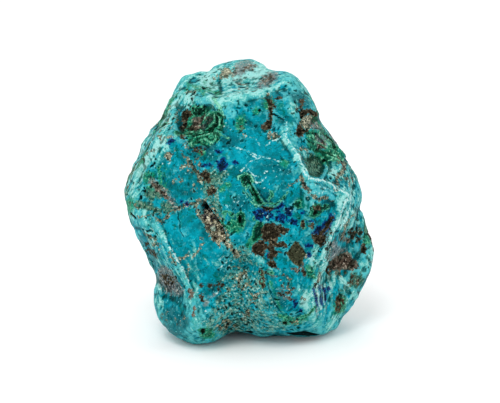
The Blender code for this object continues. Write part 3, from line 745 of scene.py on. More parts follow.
BACK_MARKS: Marks = {
    Mineral.DEEP: (
        Spot(232, 140, 16, 10, 20), Spot(286, 176, 12, 18, -10), Spot(196, 214, 14, 9, 30),
        Spot(250, 296, 20, 10), Spot(330, 230, 9, 16),
    ),
    Mineral.PALE_AND_HIGHLIGHT: (
        # pale film and painted highlight along the edges
        Line((230, 66, 214, 86, 206, 112, 210, 138), 5, 4),
        Line((262, 92, 276, 120, 284, 150, 300, 178, 318, 196), 4.5, 6),
        Line((150, 210, 172, 228, 190, 250, 198, 284, 196, 318), 5, 6),
        Line((318, 196, 330, 224, 334, 262, 326, 300), 5, 4),
        Patch((254, 196, 270, 190, 284, 200, 278, 214, 262, 212)),
    ),
    Mineral.MOSS: (
        Patch((296, 92, 312, 104, 320, 126, 308, 136, 296, 120, 288, 104)),
        Patch((206, 236, 222, 232, 232, 246, 224, 262, 208, 258)),
    ),
    Mineral.GRAIN: (
        Patch((216, 262, 250, 248, 280, 262, 292, 300, 280, 330, 236, 334, 214, 318)),
        Patch((150, 150, 172, 142, 182, 160, 170, 182, 152, 180)),
        Line((226, 166, 246, 186, 262, 214, 258, 250), 6, 9),
    ),
    Mineral.GREEN: (
        Patch((236, 96, 256, 88, 270, 104, 262, 122, 244, 120)),
        Patch((152, 244, 168, 240, 176, 260, 166, 282, 150, 270)),
        Patch((306, 252, 322, 246, 328, 268, 316, 284, 302, 272)), Line((196, 156, 210, 178, 214, 204), 4, 2),
    ),
    Mineral.SAND: (
        Line((168, 112, 184, 132, 200, 146, 214, 166, 236, 180, 258, 206, 272, 236, 296, 258), 1.2, 2.2),
        Line((214, 166, 204, 190, 206, 214, 192, 240, 186, 268), 1.6, 0.8),
        Line((258, 206, 282, 204, 304, 214, 322, 212), 1.3, 0.7),
        Line((230, 100, 244, 114, 262, 126, 270, 142), 1.2, 0.8),
        Patch((228, 176, 242, 176, 250, 190, 244, 202, 234, 196)),
        Scatter(240, 290, 26, 24, 0, 40, 0.7, 2, 60), Scatter(180, 170, 16, 14, 20, 22, 0.7, 1.8, 61),
        Scatter(300, 150, 14, 18, 0, 20, 0.7, 1.8, 62),
    ),
    Mineral.SLATE: (
        Patch((182, 84, 198, 78, 206, 92, 196, 104, 184, 100)),
        Patch((286, 274, 300, 270, 304, 286, 292, 294)), Line((240, 152, 252, 164, 266, 170), 2.4, 1.4),
    ),
    Mineral.MALACHITE: (
        Patch((170, 196, 184, 190, 194, 200, 190, 216, 176, 216)),
        Patch((196, 206, 208, 210, 206, 226, 196, 222)),
        Line((268, 150, 280, 160, 284, 174, 276, 186, 264, 182), 3, 2.4),
        Patch((310, 180, 322, 176, 328, 190, 318, 200, 310, 192)),
        Line((226, 226, 238, 234, 246, 228, 256, 236), 2.4, 2.8), Spot(250, 108, 6, 4, 30),
    ),
    Mineral.AZURITE: (
        Patch((238, 214, 248, 210, 256, 216, 250, 224, 240, 222)),
        Scatter(252, 228, 14, 9, 0, 16, 0.9, 2.6, 63), Scatter(196, 120, 9, 8, 0, 8, 0.8, 2.2, 64),
        Line((312, 226, 316, 240, 314, 252), 1.8, 1.2),
    ),
    Mineral.RUST: (
        Patch((206, 142, 222, 138, 230, 150, 222, 162, 208, 158)),
        Patch((156, 296, 168, 292, 174, 306, 164, 314)), Scatter(216, 150, 14, 12, 0, 12, 0.9, 2.4, 65),
    ),
    Mineral.UMBER: (
        Patch((270, 214, 284, 210, 296, 220, 292, 234, 300, 244, 286, 250, 276, 240, 268, 230)),
        Patch((300, 226, 310, 222, 316, 232, 308, 240)),
        Patch((182, 276, 194, 272, 198, 284, 188, 292, 180, 286)),
        Patch((222, 120, 232, 118, 236, 128, 226, 132)), Scatter(284, 260, 14, 10, 0, 14, 0.9, 2.2, 66),
    ),
    Mineral.MINT: (
        Line((168, 194, 184, 188, 196, 198, 192, 218, 176, 220), 0.7),
        Line((264, 146, 282, 156, 288, 176, 278, 190), 0.7),
        Line((222, 224, 238, 238, 248, 230, 258, 238), 0.7),
    ),
    Mineral.VEIN: (
        Line((250, 128, 268, 134, 288, 130, 306, 138), 0.6, 0.4), Line((288, 130, 296, 146, 292, 160), 0.5),
        Line((176, 226, 196, 234, 214, 230), 0.5), Line((214, 100, 220, 120, 216, 140), 0.6),
        Scatter(280, 190, 30, 30, 0, 30, 0.3, 0.8, 67), Scatter(220, 296, 26, 22, 0, 40, 0.3, 0.9, 68),
    ),
    Mineral.PIT_SHADE: (
        # painted shade in small pits and cracks
        Line((180, 150, 188, 166, 186, 184), 0.8, 0.5), Line((276, 118, 288, 126, 292, 138), 0.8, 0.5),
        Scatter(240, 184, 10, 12, 0, 8, 0.6, 1.6, 69), Scatter(200, 250, 24, 40, 0, 30, 0.5, 1.3, 70),
        Scatter(300, 180, 24, 60, 0, 30, 0.5, 1.3, 71),
    ),
}

RIGHT_MARKS: Marks = {
    Mineral.DEEP: (Spot(250, 150, 14, 20, 10), Spot(292, 240, 14, 12), Spot(236, 290, 16, 9)),
    Mineral.PALE_AND_HIGHLIGHT: (
        # pale film and painted highlight along the edges
        Line((214, 96, 224, 130, 220, 164, 230, 196), 5, 6),
        Line((276, 84, 290, 120, 296, 160, 310, 190), 4, 6),
        Line((240, 206, 262, 214, 290, 208, 318, 216), 4, 3), Line((216, 226, 224, 254, 222, 290), 5, 4),
    ),
    Mineral.MOSS: (
        Patch((236, 236, 254, 230, 264, 246, 256, 264, 240, 260)),
        Patch((300, 130, 314, 136, 318, 160, 306, 168, 298, 150)),
    ),
    Mineral.GRAIN: (
        Patch((240, 170, 262, 164, 276, 184, 268, 204, 246, 200)),
        Patch((270, 260, 300, 252, 310, 290, 290, 322, 262, 310)),
    ),
    Mineral.GREEN: (
        Patch((228, 112, 244, 106, 254, 126, 246, 146, 232, 136)),
        Patch((262, 96, 276, 104, 274, 122, 262, 116)), Line((282, 196, 286, 224, 278, 250), 4, 3),
    ),
    Mineral.SAND: (
        Line((222, 104, 238, 126, 252, 146, 258, 176, 276, 204, 284, 236), 1.8, 1.2),
        Line((252, 146, 276, 152, 298, 146), 1.3, 0.8), Line((276, 204, 300, 216, 316, 240), 1.2, 0.8),
        Scatter(256, 240, 14, 24, 0, 26, 0.7, 1.9, 80), Scatter(270, 120, 14, 16, 0, 16, 0.7, 1.8, 81),
    ),
    Mineral.SLATE: (Patch((262, 140, 276, 136, 282, 148, 270, 158)), Spot(232, 274, 9, 5, 30)),
    Mineral.MALACHITE: (
        Patch((240, 138, 252, 134, 258, 144, 250, 156, 240, 150)),
        Line((264, 216, 274, 226, 270, 240), 3, 2.4), Patch((296, 176, 306, 174, 310, 186, 300, 192)),
    ),
    Mineral.AZURITE: (Scatter(280, 176, 12, 14, 0, 12, 0.9, 2.6, 82), Spot(238, 222, 3, 2, 20)),
    Mineral.RUST: (
        Patch((228, 154, 240, 158, 240, 172, 230, 172)), Scatter(250, 270, 14, 14, 0, 12, 0.9, 2.2, 83),
    ),
    Mineral.UMBER: (
        Patch((258, 184, 270, 180, 280, 190, 276, 202, 262, 200)),
        Patch((246, 250, 260, 246, 266, 260, 256, 268, 246, 262)),
        Scatter(300, 230, 12, 16, 0, 12, 0.9, 2.2, 84),
    ),
    Mineral.MINT: (
        Line((238, 134, 254, 130, 262, 144, 252, 160), 0.7), Line((262, 212, 278, 226, 272, 244), 0.7),
    ),
    Mineral.VEIN: (
        Line((230, 186, 252, 196, 272, 192, 296, 200), 0.6, 0.4), Line((286, 96, 296, 124, 310, 144), 0.5),
        Scatter(270, 150, 34, 50, 0, 40, 0.3, 0.8, 85),
    ),
    Mineral.PIT_SHADE: (
        # painted shade in small pits and cracks
        Line((258, 104, 266, 124, 262, 140), 0.7, 0.5), Scatter(262, 200, 34, 80, 0, 50, 0.5, 1.4, 86),
    ),
}

LEFT_MARKS: Marks = {
    Mineral.DEEP: (Spot(250, 130, 14, 12), Spot(216, 196, 12, 18), Spot(262, 276, 12, 12)),
    Mineral.PALE_AND_HIGHLIGHT: (
        # pale film and painted highlight along the edges
        Line((280, 90, 272, 126, 280, 160, 270, 200), 6, 5),
        Line((206, 90, 196, 130, 206, 170, 190, 214), 5, 5),
        Line((230, 226, 250, 240, 258, 276, 250, 316), 5, 4),
    ),
    Mineral.MOSS: (Patch((238, 176, 254, 172, 262, 190, 250, 206, 238, 198)),),
    Mineral.GRAIN: (
        Patch((256, 196, 280, 190, 284, 226, 266, 250, 250, 226)),
        Patch((196, 240, 222, 232, 232, 268, 214, 300, 194, 282)),
    ),
    Mineral.GREEN: (
        Patch((254, 146, 270, 142, 276, 164, 262, 176, 252, 164)),
        Patch((196, 176, 212, 174, 214, 200, 200, 206)), Line((236, 96, 246, 116, 242, 136), 4, 3),
    ),
    Mineral.SAND: (
        Line((268, 112, 252, 138, 246, 168, 228, 196, 222, 230, 206, 262), 1.2, 2),
        Line((246, 168, 266, 186, 282, 214), 1.4, 0.8), Line((228, 196, 204, 194, 186, 204), 1.2, 0.8),
        Scatter(262, 214, 14, 22, 0, 30, 0.7, 1.9, 90), Scatter(220, 140, 16, 16, 0, 16, 0.7, 1.8, 91),
    ),
    Mineral.SLATE: (
        Patch((262, 250, 276, 244, 282, 258, 270, 268)), Line((214, 150, 226, 162, 230, 178), 2.2, 1.4),
    ),
    Mineral.MALACHITE: (
        Patch((222, 112, 234, 108, 240, 120, 230, 130, 220, 124)),
        Line((206, 214, 218, 222, 222, 238), 3, 2.4), Patch((262, 120, 272, 118, 274, 130, 264, 134)),
    ),
    Mineral.AZURITE: (Scatter(240, 214, 9, 12, 0, 10, 0.9, 2.4, 92), Spot(256, 98, 3.4, 2.2, 20)),
    Mineral.RUST: (
        Patch((206, 128, 218, 126, 222, 138, 210, 142)), Scatter(252, 262, 12, 12, 0, 12, 0.9, 2.2, 93),
    ),
    Mineral.UMBER: (
        Patch((230, 240, 244, 238, 248, 252, 238, 262, 228, 254)),
        Patch((190, 224, 202, 222, 204, 236, 194, 240)), Scatter(270, 150, 12, 18, 0, 12, 0.9, 2.2, 94),
    ),
    Mineral.MINT: (
        Line((218, 108, 236, 104, 244, 120, 232, 134), 0.7), Line((204, 210, 220, 220, 226, 240), 0.7),
    ),
    Mineral.VEIN: (
        Line((204, 152, 226, 160, 248, 154, 268, 160), 0.6, 0.4),
        Scatter(240, 180, 40, 70, 0, 40, 0.3, 0.8, 95),
    ),
    Mineral.PIT_SHADE: (
        # painted shade in small pits and cracks
        Line((238, 130, 232, 150, 236, 168), 0.7, 0.5), Scatter(240, 210, 40, 80, 0, 56, 0.5, 1.5, 96),
    ),
}

TOP_MARKS: Marks = {
    Mineral.PALE_AND_HIGHLIGHT: (
        # pale film and painted highlight on the top's crests and dish
        Line((206, 210, 226, 190, 252, 180, 284, 186), 7, 5), Line((214, 236, 240, 244, 270, 238), 4, 4),
    ),
    Mineral.SAND: (Scatter(246, 214, 22, 14, 0, 20, 0.7, 1.6, 100),),
    Mineral.RUST: (Scatter(262, 206, 12, 8, 0, 10, 0.8, 2, 101),),
    Mineral.GREEN: (Patch((206, 222, 220, 218, 224, 232, 212, 238)), Spot(290, 206, 6, 8)),
    # painted shade in small pits
    Mineral.PIT_SHADE: (Scatter(250, 206, 34, 20, 0, 24, 0.5, 1.2, 102),),
    Mineral.VEIN: (Scatter(250, 206, 34, 24, 0, 30, 0.3, 0.8, 103),),
}

CHART_MARKS: dict[Chart, Marks] = {
    FRONT: FRONT_MARKS, RIGHT: RIGHT_MARKS, BACK: BACK_MARKS, LEFT: LEFT_MARKS, TOP: TOP_MARKS,
}


def paint(colour: Colour) -> tuple[float, float, float, float]:
    """A colour in 0 to 255 as the linear colour that a shader takes."""
    linear = [((c / 255 + 0.055) / 1.055) ** 2.4 if c > 10 else c / 255 / 12.92 for c in colour]
    return linear[0], linear[1], linear[2], 1.0


@dataclass(frozen=True)
class Finish:
    """How one mineral shows: its colours from rim to core, its flecks, edge, gloss and relief."""

    rim: Colour
    body: Colour
    core: Colour
    fleck: Colour = (0, 70, 74)
    glint: Colour = (120, 208, 210)
    fleck_from: float = 0.64  # the level of the fleck noise about which dark flecks start to show
    glint_from: float = 0.66  # and that of the glint noise about which pale ones do
    core_depth: float = 4.0  # chart points inside the edge at which the core's colour is reached
    ragged: float = 2.0  # chart points by which its edge wanders
    speckle: float = 1.2  # and by which fine grain breaks it up
    soft: float = 0.7  # half width of its edge in chart points
    swell: float = 0.0  # chart points by which it spreads past its marks
    shallow: float = DEEPEST  # the greatest depth it counts, so that its grain can open it anywhere
    cover: float = 1.0  # how much of what is under it it hides
    bands: float = 0.0  # chart points from one pale band to the next, 0 for none
    rough: float = 0.45
    relief: float = 0.0  # in millimetres, outwards
    rubble: float = 0.0  # how rough its surface is, in millimetres


FINISHES: dict[Mineral, Finish] = {
    Mineral.DEEP: Finish(
        (0, 104, 112), (0, 84, 90), (0, 72, 80), fleck_from=0.58, core_depth=6, ragged=4.0, speckle=2.5,
        soft=3.0, cover=0.75, rough=0.36, relief=-0.03,
    ),
    # pale film, and painted highlight where its marks follow crests, edges, the lip and the dish
    Mineral.PALE_AND_HIGHLIGHT: Finish(
        (44, 156, 152), (106, 191, 182), (158, 216, 208), (24, 132, 122), (190, 228, 222), 0.63, 0.63,
        core_depth=6, ragged=5.0, speckle=2.6, soft=2.8, swell=-0.8, cover=0.75, rough=0.42, relief=0.02,
    ),
    Mineral.MOSS: Finish(
        (40, 108, 84), (58, 98, 74), (84, 116, 88), (18, 42, 28), (130, 154, 126), 0.55, 0.6, core_depth=6,
        ragged=5.0, speckle=4.0, soft=1.6, cover=0.85, rough=0.6, rubble=0.05,
    ),
    Mineral.GRAIN: Finish(
        (12, 122, 124), (54, 136, 128), (112, 146, 126), (10, 64, 56), (150, 194, 176), 0.58, 0.59,
        core_depth=5, ragged=13.0, speckle=6.0, soft=1.6, shallow=1.4, cover=0.8, rough=0.55, rubble=0.06,
    ),
    Mineral.GREEN: Finish(
        (12, 132, 108), (22, 118, 82), (6, 84, 54), (0, 34, 24), (92, 180, 132), 0.59, 0.59, core_depth=6,
        ragged=4.0, speckle=3.0, soft=1.4, swell=0.5, cover=0.88, rough=0.4,
    ),
    Mineral.SAND: Finish(
        (52, 102, 88), (98, 100, 80), (136, 132, 108), (32, 34, 24), (198, 196, 168), 0.54, 0.6,
        core_depth=2.4, ragged=4.0, speckle=3.4, soft=0.7, cover=0.92, rough=0.62, rubble=0.05,
    ),
    Mineral.SLATE: Finish(
        (74, 122, 122), (112, 114, 112), (90, 82, 86), (44, 46, 46), (176, 170, 160), 0.58, 0.59,
        core_depth=7, ragged=4.0, speckle=3.5, soft=1.8, cover=0.8, rough=0.5, relief=-0.02, rubble=0.04,
    ),
    Mineral.MALACHITE: Finish(
        (22, 126, 96), (6, 80, 54), (0, 38, 26), (0, 22, 14), (88, 178, 142), 0.58, 0.65, core_depth=3.4,
        ragged=1.8, speckle=1.6, soft=0.6, cover=0.97, bands=7.0, rough=0.38, relief=0.07, rubble=0.02,
    ),
    Mineral.AZURITE: Finish(
        (0, 84, 138), (12, 22, 88), (6, 2, 36), (0, 4, 26), (20, 90, 156), 0.57, 0.64, core_depth=2.8,
        ragged=2.4, speckle=2.6, soft=0.7, swell=0.8, cover=0.95, rough=0.4, relief=-0.04,
    ),
    Mineral.RUST: Finish(
        (84, 94, 84), (102, 92, 80), (76, 64, 54), (32, 26, 22), (164, 154, 138), 0.56, 0.61, core_depth=4,
        ragged=2.4, speckle=3.0, soft=0.6, swell=0.6, rough=0.66, relief=-0.04, rubble=0.1,
    ),
    Mineral.UMBER: Finish(
        (78, 76, 58), (58, 50, 38), (40, 36, 26), (12, 12, 8), (118, 110, 90), 0.56, 0.62, core_depth=4.2,
        ragged=3.2, speckle=3.4, soft=0.6, swell=0.8, rough=0.68, relief=-0.1, rubble=0.09,
    ),
    Mineral.OLIVE: Finish(
        (84, 88, 62), (62, 64, 46), (56, 60, 44), (30, 30, 20), (118, 116, 90), 0.57, 0.63, core_depth=4,
        ragged=0.8, speckle=1.4, soft=0.5, swell=0.3, rough=0.6, relief=-0.06, rubble=0.05,
    ),
    Mineral.MINT: Finish(
        (26, 130, 98), (78, 170, 134), (126, 208, 172), (6, 76, 50), (160, 220, 190), 0.58, 0.62,
        core_depth=1.0, ragged=1.3, speckle=1.4, soft=0.5, cover=0.8, rough=0.4, relief=0.08,
    ),
    Mineral.VEIN: Finish(
        (60, 172, 178), (150, 212, 210), (214, 238, 232), glint_from=0.6, core_depth=0.8, ragged=1.2,
        speckle=2.2, soft=0.45, cover=0.7, rough=0.42, relief=0.02,
    ),
    # painted shade, near black, for holes and the undercut along the foot
    Mineral.PIT_SHADE: Finish(
        (30, 40, 30), (12, 14, 10), (2, 4, 4), (0, 0, 0), (80, 70, 50), 0.6, 0.68, core_depth=1.6,
        ragged=0.9, speckle=0.9, soft=0.5, cover=0.95, rough=0.7, relief=-0.3,
    ),
}

@dataclass(frozen=True)
class Noise:
    """A noise of a material, mostly between 0.25 and 0.75."""

    size: float  # of its largest lumps, in metres
    detail: float = 2.0
    roughness: float = 0.5
    warp: float = 0.0
    offset: Offset | None = None  # where in the noise it is taken from, so that it differs from others


@dataclass(frozen=True)
class Tint:
    """A colour laid over another where a value is high, or low if full is below start."""

    colour: Colour
    start: float  # the value at which it starts to show
    full: float  # and that from which it shows as much as it ever does
    share: float = 1.0  # how much that is
    blend: str = "MIX"


class NodeTree:
    """A short way to add and join nodes."""

    def __init__(self, tree: bpy.types.NodeTree) -> None:
        """Works on this tree."""
        self.tree = tree

    def add(self, kind: str, settings: dict[str, object] | None = None, **inputs: object) -> bpy.types.Node:
        """Adds a node.

        Args:
            kind: the node's type.
            settings: its properties.
            inputs: a value or an output for each input, by its name with _ for spaces, or a number after i.

        Returns:
            The node.
        """
        node = self.tree.nodes.new(kind)
        for key, value in (settings or {}).items():
            setattr(node, key, value)
        for key, value in inputs.items():
            index = int(key[1:]) if key[0] == "i" and key[1:].isdigit() else key.replace("_", " ")
            if isinstance(value, bpy.types.NodeSocket):
                self.tree.links.new(value, node.inputs[index])
            else:
                node.inputs[index].default_value = value
        return node

    def math(self, operation: str, *values: object) -> Socket:
        """The result of a Math node on the given values."""
        inputs = {f"i{index}": value for index, value in enumerate(values)}
        return self.add("ShaderNodeMath", {"operation": operation}, **inputs).outputs[0]

    def plus(self, base: object, value: Socket, share: object) -> Socket:
        """The base with a share of the value added."""
        return self.math("MULTIPLY_ADD", value, share, base)


class Shader(NodeTree):
    """The nodes of one material."""

    def __init__(self, name: str) -> None:
        """Starts a material of this name with an empty tree."""
        self.material = bpy.data.materials.new(name)
        self.material.use_nodes = True
        super().__init__(self.material.node_tree)
        self.tree.nodes.clear()

    @cached_property
    def place(self) -> Socket:
        """Where on the object the shaded place is, in metres."""
        return self.add("ShaderNodeTexCoord").outputs["Object"]

    def spread(self, value: object, low: float, high: float, least: float = 0.0, most: float = 1.0) -> Socket:
        """The value, spread smoothly from low..high to least..most."""
        kind, settings = "ShaderNodeMapRange", {"interpolation_type": "SMOOTHSTEP"}
        return self.add(kind, settings, i0=value, i1=low, i2=high, i3=least, i4=most).outputs[0]

    def noise(self, kind: Noise) -> Socket:
        """A noise over the object.

        Args:
            kind: its settings.

        Returns:
            The noise's level.
        """
        place = self.place
        if kind.offset:
            place = self.add("ShaderNodeMapping", i0=place, i1=kind.offset).outputs[0]
        return self.add(
            "ShaderNodeTexNoise", {"noise_dimensions": "3D"}, Vector=place, Scale=1 / kind.size,
            Detail=kind.detail, Roughness=kind.roughness, Distortion=kind.warp,
        ).outputs["Fac"]

    def swing(self, kind: Noise) -> Socket:
        """A noise about 0, mostly between -0.25 and 0.25."""
        return self.math("SUBTRACT", self.noise(kind), 0.5)

    def attribute(self, name: str) -> Socket:
        """An attribute of the mesh."""
        return self.add("ShaderNodeAttribute", {"attribute_name": name}).outputs["Fac"]

    def mixed(self, share: object, first: object, second: object, blend: str = "MIX") -> Socket:
        """Two colours mixed."""
        settings = {"data_type": "RGBA", "blend_type": blend, "clamp_factor": True}
        return self.add("ShaderNodeMix", settings, i0=share, i6=first, i7=second).outputs[2]

    def level(self, share: object, first: object, second: object) -> Socket:
        """Two numbers mixed."""
        return self.add("ShaderNodeMix", {"data_type": "FLOAT"}, i0=share, i2=first, i3=second).outputs[0]

    def ramp(self, value: Socket, stops: tuple[tuple[float, Colour], ...]) -> Socket:
        """A colour that changes with a value.

        Args:
            value: what it changes with.
            stops: values with the colours that they give, in rising order.

        Returns:
            The colour.
        """
        node = self.add("ShaderNodeValToRGB", i0=value)
        elements = node.color_ramp.elements
        while len(elements) < len(stops):
            elements.new(0.5)
        for element, (position, colour) in zip(elements, stops):
            element.position = position
            element.color = paint(colour)
        return node.outputs[0]

    def tinted(self, under: object, value: Socket, tint: Tint, where: Socket | None = None) -> Socket:
        """A colour with a tint over it.

        Args:
            under: the colour that is there.
            value: what the tint goes by.
            tint: its colour, and where it starts and is full.
            where: a further share of it for each place.

        Returns:
            The colour of both.
        """
        share = self.spread(value, tint.start, tint.full, 0.0, tint.share)
        if where is not None:
            share = self.math("MULTIPLY", share, where)
        return self.mixed(share, under, paint(tint.colour), tint.blend)

    def finished(self, colour: Socket, rough: object, ior: float, **inputs: Socket) -> bpy.types.Node:
        """Ends the material in one surface.

        Args:
            colour: the surface's colour.
            rough: how rough it is.
            ior: its index of refraction.
            inputs: what else is linked to it.

        Returns:
            The surface's shader.
        """
        surface = self.add("ShaderNodeBsdfPrincipled", Base_Color=colour, Roughness=rough, IOR=ior, **inputs)
        self.add("ShaderNodeOutputMaterial", Surface=surface.outputs[0])
        return surface


class StoneShader(Shader):
    """The stone's material: the ground with wear, painted highlight and painted shade, then each mineral by
    how deep in its marks a place is.
    """

    body_stop = 0.45  # the share of the way in to its core at which a mineral has its body's colour
    speck_core, mottle_core = 1.2, 2.4  # how much the fine noises move that share
    fleck_start, fleck_full = -0.04, 0.06  # where flecks start and are full, about a finish's own level
    pale_streaks = 7.0  # chart points by which streaks draw out the pale areas
    crack_edge = (0.012, 0.002)  # how far off the middle of its noise a crack starts, and is full
    crack_gaps = (0.5, 0.6)  # the levels below which it breaks off, and above which it is whole
    ground_rough = 0.4
    least_bump, rugged_bump, speck_bump = 0.1, 0.5, 0.13  # in millimetres
    bump_strength = 0.8
    ior, specular = 1.45, 0.02

    def __init__(self) -> None:
        """Starts the material with what its layers share: the mesh's attributes and the fine noises."""
        super().__init__("chrysocolla_skin")
        self.rugged, self.streak, self.crumb = map(self.attribute, ("rugged", "streak", "crumb"))
        self.wobble = self.swing(Noise(1.1 * MM, 3, 0.6))
        self.speck = self.swing(Noise(0.34 * MM, 2, 0.6, offset=(0.5, 0.2, 0.9)))
        self.mottle = self.swing(Noise(0.8 * MM, 2, 0.6, 0.6, (0.7, 0.8, 0.35)))
        self.glint = self.noise(Noise(0.4 * MM, 2, 0.6, 0.5, (0.85, 0.65, 0.25)))
        usual_rugged, more_flecks = 0.7, 0.07
        fleck = self.noise(Noise(0.46 * MM, 2, 0.6, 0.5, (0.15, 0.35, 0.75)))
        self.fleck = self.plus(fleck, self.math("SUBTRACT", self.rugged, usual_rugged), more_flecks)

    def cracked(self, ground: Socket, course: Noise, colour: Colour, share: float) -> Socket:
        """Adds fine broken lines, which follow the middle level of a noise.

        Args:
            ground: the colour under them.
            course: the noise that they follow.
            colour: their own colour.
            share: how strongly they show.

        Returns:
            The colour of both.
        """
        line = self.spread(self.math("ABSOLUTE", self.swing(course)), *self.crack_edge)
        breaks = self.noise(Noise(2.4 * MM, offset=course.offset[::-1]))
        broken = self.spread(breaks, *self.crack_gaps, 0.0, share)
        return self.mixed(self.math("MULTIPLY", line, broken), ground, paint(colour))

    def ground(self) -> Socket:
        """Adds the turquoise ground: clouds and mottling, green stains and fine cracks.

        Returns:
            The ground's colour.
        """
        deep, light = (0, 88, 96), (12, 164, 182)
        cloud_share, mottle_share = 0.6, 0.9
        clouds = self.math("MULTIPLY", self.noise(Noise(6.0 * MM, 4, 0.55, 0.6)), cloud_share)
        both = self.plus(clouds, self.noise(Noise(1.9 * MM, 6, 0.68, 0.9, (0.3, 0.1, 0.7))), mottle_share)
        ground = self.ramp(both, ((0.55, deep), (0.7, (0, 118, 130)), (0.82, (0, 142, 160)), (0.98, light)))
        green = Tint((0, 104, 82), 0.54, 0.68, 0.75)
        ground = self.tinted(ground, self.noise(Noise(3.6 * MM, 5, 0.64, 1.2, (0.9, 0.4, 0.2))), green)
        ground = self.cracked(ground, Noise(3.4 * MM, 3, 0.6, 1.5, (0.7, 0.2, 0.4)), light, 0.55)
        return self.cracked(ground, Noise(2.6 * MM, 3, 0.6, 1.5, (0.1, 0.9, 0.3)), deep, 0.7)

    def weathered_with_painted_light(self) -> Socket:
        """Adds the ground with its flecks and murk, its crests paler as wear and painted highlight and its
        hollows in painted shade.

        Returns:
            The ground's colour.
        """
        pale_areas = self.spread(self.noise(Noise(2.6 * MM, offset=(0.6, 0.3, 0.8))), 0.42, 0.6)
        murk_areas = self.spread(self.noise(Noise(4.2 * MM, offset=(0.4, 0.1, 0.6))), 0.44, 0.58)
        rugged_murk, streak_in_wear_and_shade, mottle_in_wear_and_shade, speck_in_wear_and_shade, mottle_in_crumb_highlight = 0.05, 1.2, 3.0, 1.6, 6.0
        most_wear_and_highlight = 1.3  # so that crests keep their mottling
        blotches = self.noise(Noise(0.95 * MM, 3, 0.6, 1.0, (0.25, 0.55, 0.45)))
        murk = self.plus(blotches, self.rugged, rugged_murk)
        # this level is high on crests and low in hollows; it drives the crests' wear and painted highlight
        # and the hollows' painted shade
        wear_and_shade = self.math("MINIMUM", self.plus(self.attribute("ridge"), self.streak, streak_in_wear_and_shade), most_wear_and_highlight)
        wear_and_shade = self.plus(self.plus(wear_and_shade, self.mottle, mottle_in_wear_and_shade), self.speck, speck_in_wear_and_shade)
        # painted highlight on the tops of small lumps
        crumb_highlight = self.plus(self.crumb, self.mottle, mottle_in_crumb_highlight)
        colour = self.tinted(self.ground(), self.fleck, Tint((0, 66, 60), 0.61, 0.67, 0.85))
        colour = self.tinted(colour, self.glint, Tint((60, 190, 196), 0.62, 0.68, 0.6), pale_areas)
        colour = self.tinted(colour, murk, Tint((0, 84, 66), 0.6, 0.66, 0.8), murk_areas)
        # pale crests: partly wear, partly painted highlight
        colour = self.tinted(colour, wear_and_shade, Tint((104, 202, 198), 0.6, 2.0, 0.6))
        # painted shade in the hollows
        colour = self.tinted(colour, wear_and_shade, Tint((0, 62, 66), -0.4, -2.0, 0.5))
        # painted highlight on the tops of small lumps
        return self.tinted(colour, crumb_highlight, Tint((96, 200, 204), 1.0, 3.0, 0.45))

    def depth(self, mineral: Mineral) -> Socket:
        """Adds how deep inside a mineral each place is, with the wandering and the grain of its edge.

        Args:
            mineral: the mineral.

        Returns:
            The depth in chart points.
        """
        finish = FINISHES[mineral]
        depth = self.math("ADD", self.attribute(mineral.value), finish.swell)
        if mineral is Mineral.PALE_AND_HIGHLIGHT:
            depth = self.plus(depth, self.streak, self.pale_streaks)
        if finish.shallow < DEEPEST:
            depth = self.math("MINIMUM", depth, finish.shallow)
        depth = self.plus(depth, self.wobble, finish.ragged * 2)
        return self.plus(depth, self.speck, finish.speckle * 2)

    def mineral_colour(self, finish: Finish, depth: Socket) -> Socket:
        """Adds a mineral's colour, from its rim to its core, with its bands and flecks.

        Args:
            finish: the mineral's finish.
            depth: how deep inside it a place is.

        Returns:
            The mineral's colour.
        """
        share = self.plus(self.math("DIVIDE", depth, finish.core_depth), self.speck, self.speck_core)
        stops = ((0.0, finish.rim), (self.body_stop, finish.body), (1.0, finish.core))
        colour = self.ramp(self.plus(share, self.mottle, self.mottle_core), stops)
        if finish.bands:
            wave = self.math("COSINE", self.math("MULTIPLY", depth, 2 * math.pi / finish.bands))
            colour = self.tinted(colour, wave, Tint(finish.glint, 0.5, 1.0, 0.7))
        for grain, level, tint in (
            (self.fleck, finish.fleck_from, finish.fleck), (self.glint, finish.glint_from, finish.glint),
        ):
            colour = self.tinted(colour, grain, Tint(tint, level + self.fleck_start, level + self.fleck_full))
        return colour

    def build(self) -> bpy.types.Material:
        """Lays every mineral over the ground, then paints shade into the pits and the hollows between small
        lumps.

        Returns:
            The material, which reads the skin's attributes.
        """
        colour = self.weathered_with_painted_light()
        rough: object = self.ground_rough
        height = self.math("MULTIPLY", self.wobble, self.plus(self.least_bump, self.rugged, self.rugged_bump))
        height = self.plus(height, self.speck, self.speck_bump)
        for mineral, finish in FINISHES.items():
            depth = self.depth(mineral)
            cover = self.spread(depth, -finish.soft, finish.soft, 0.0, finish.cover)
            colour = self.mixed(cover, colour, self.mineral_colour(finish, depth))
            rough = self.level(cover, rough, finish.rough)
            if finish.relief:
                height = self.plus(height, cover, finish.relief)
        # painted shade in the small pits
        colour = self.tinted(colour, self.attribute("pitted"), Tint((6, 56, 48), 0.1, 0.7, 0.75))
        # painted shade: darker in the small hollows between lumps
        colour = self.tinted(colour, self.crumb, Tint((104, 128, 120), -0.3, -3.4, 0.85, "MULTIPLY"))
        bumped = self.add("ShaderNodeBump", i0=self.bump_strength, i1=1.0 * MM, Height=height).outputs[0]
        surface = self.finished(colour, rough, self.ior, Normal=bumped)
        surface.inputs["Specular IOR Level"].default_value = self.specular
        return self.material


def merged_copy(node: bpy.types.Object) -> bmesh.types.BMesh:
    """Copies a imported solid's mesh and joins its loose triangles.

    Args:
        node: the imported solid.

    Returns:
        The copy, in metres.
    """
    copy = bmesh.new()
    copy.from_mesh(node.data)
    copy.transform(node.matrix_world)
    bmesh.ops.remove_doubles(copy, verts=copy.verts, dist=1e-6)
    return copy


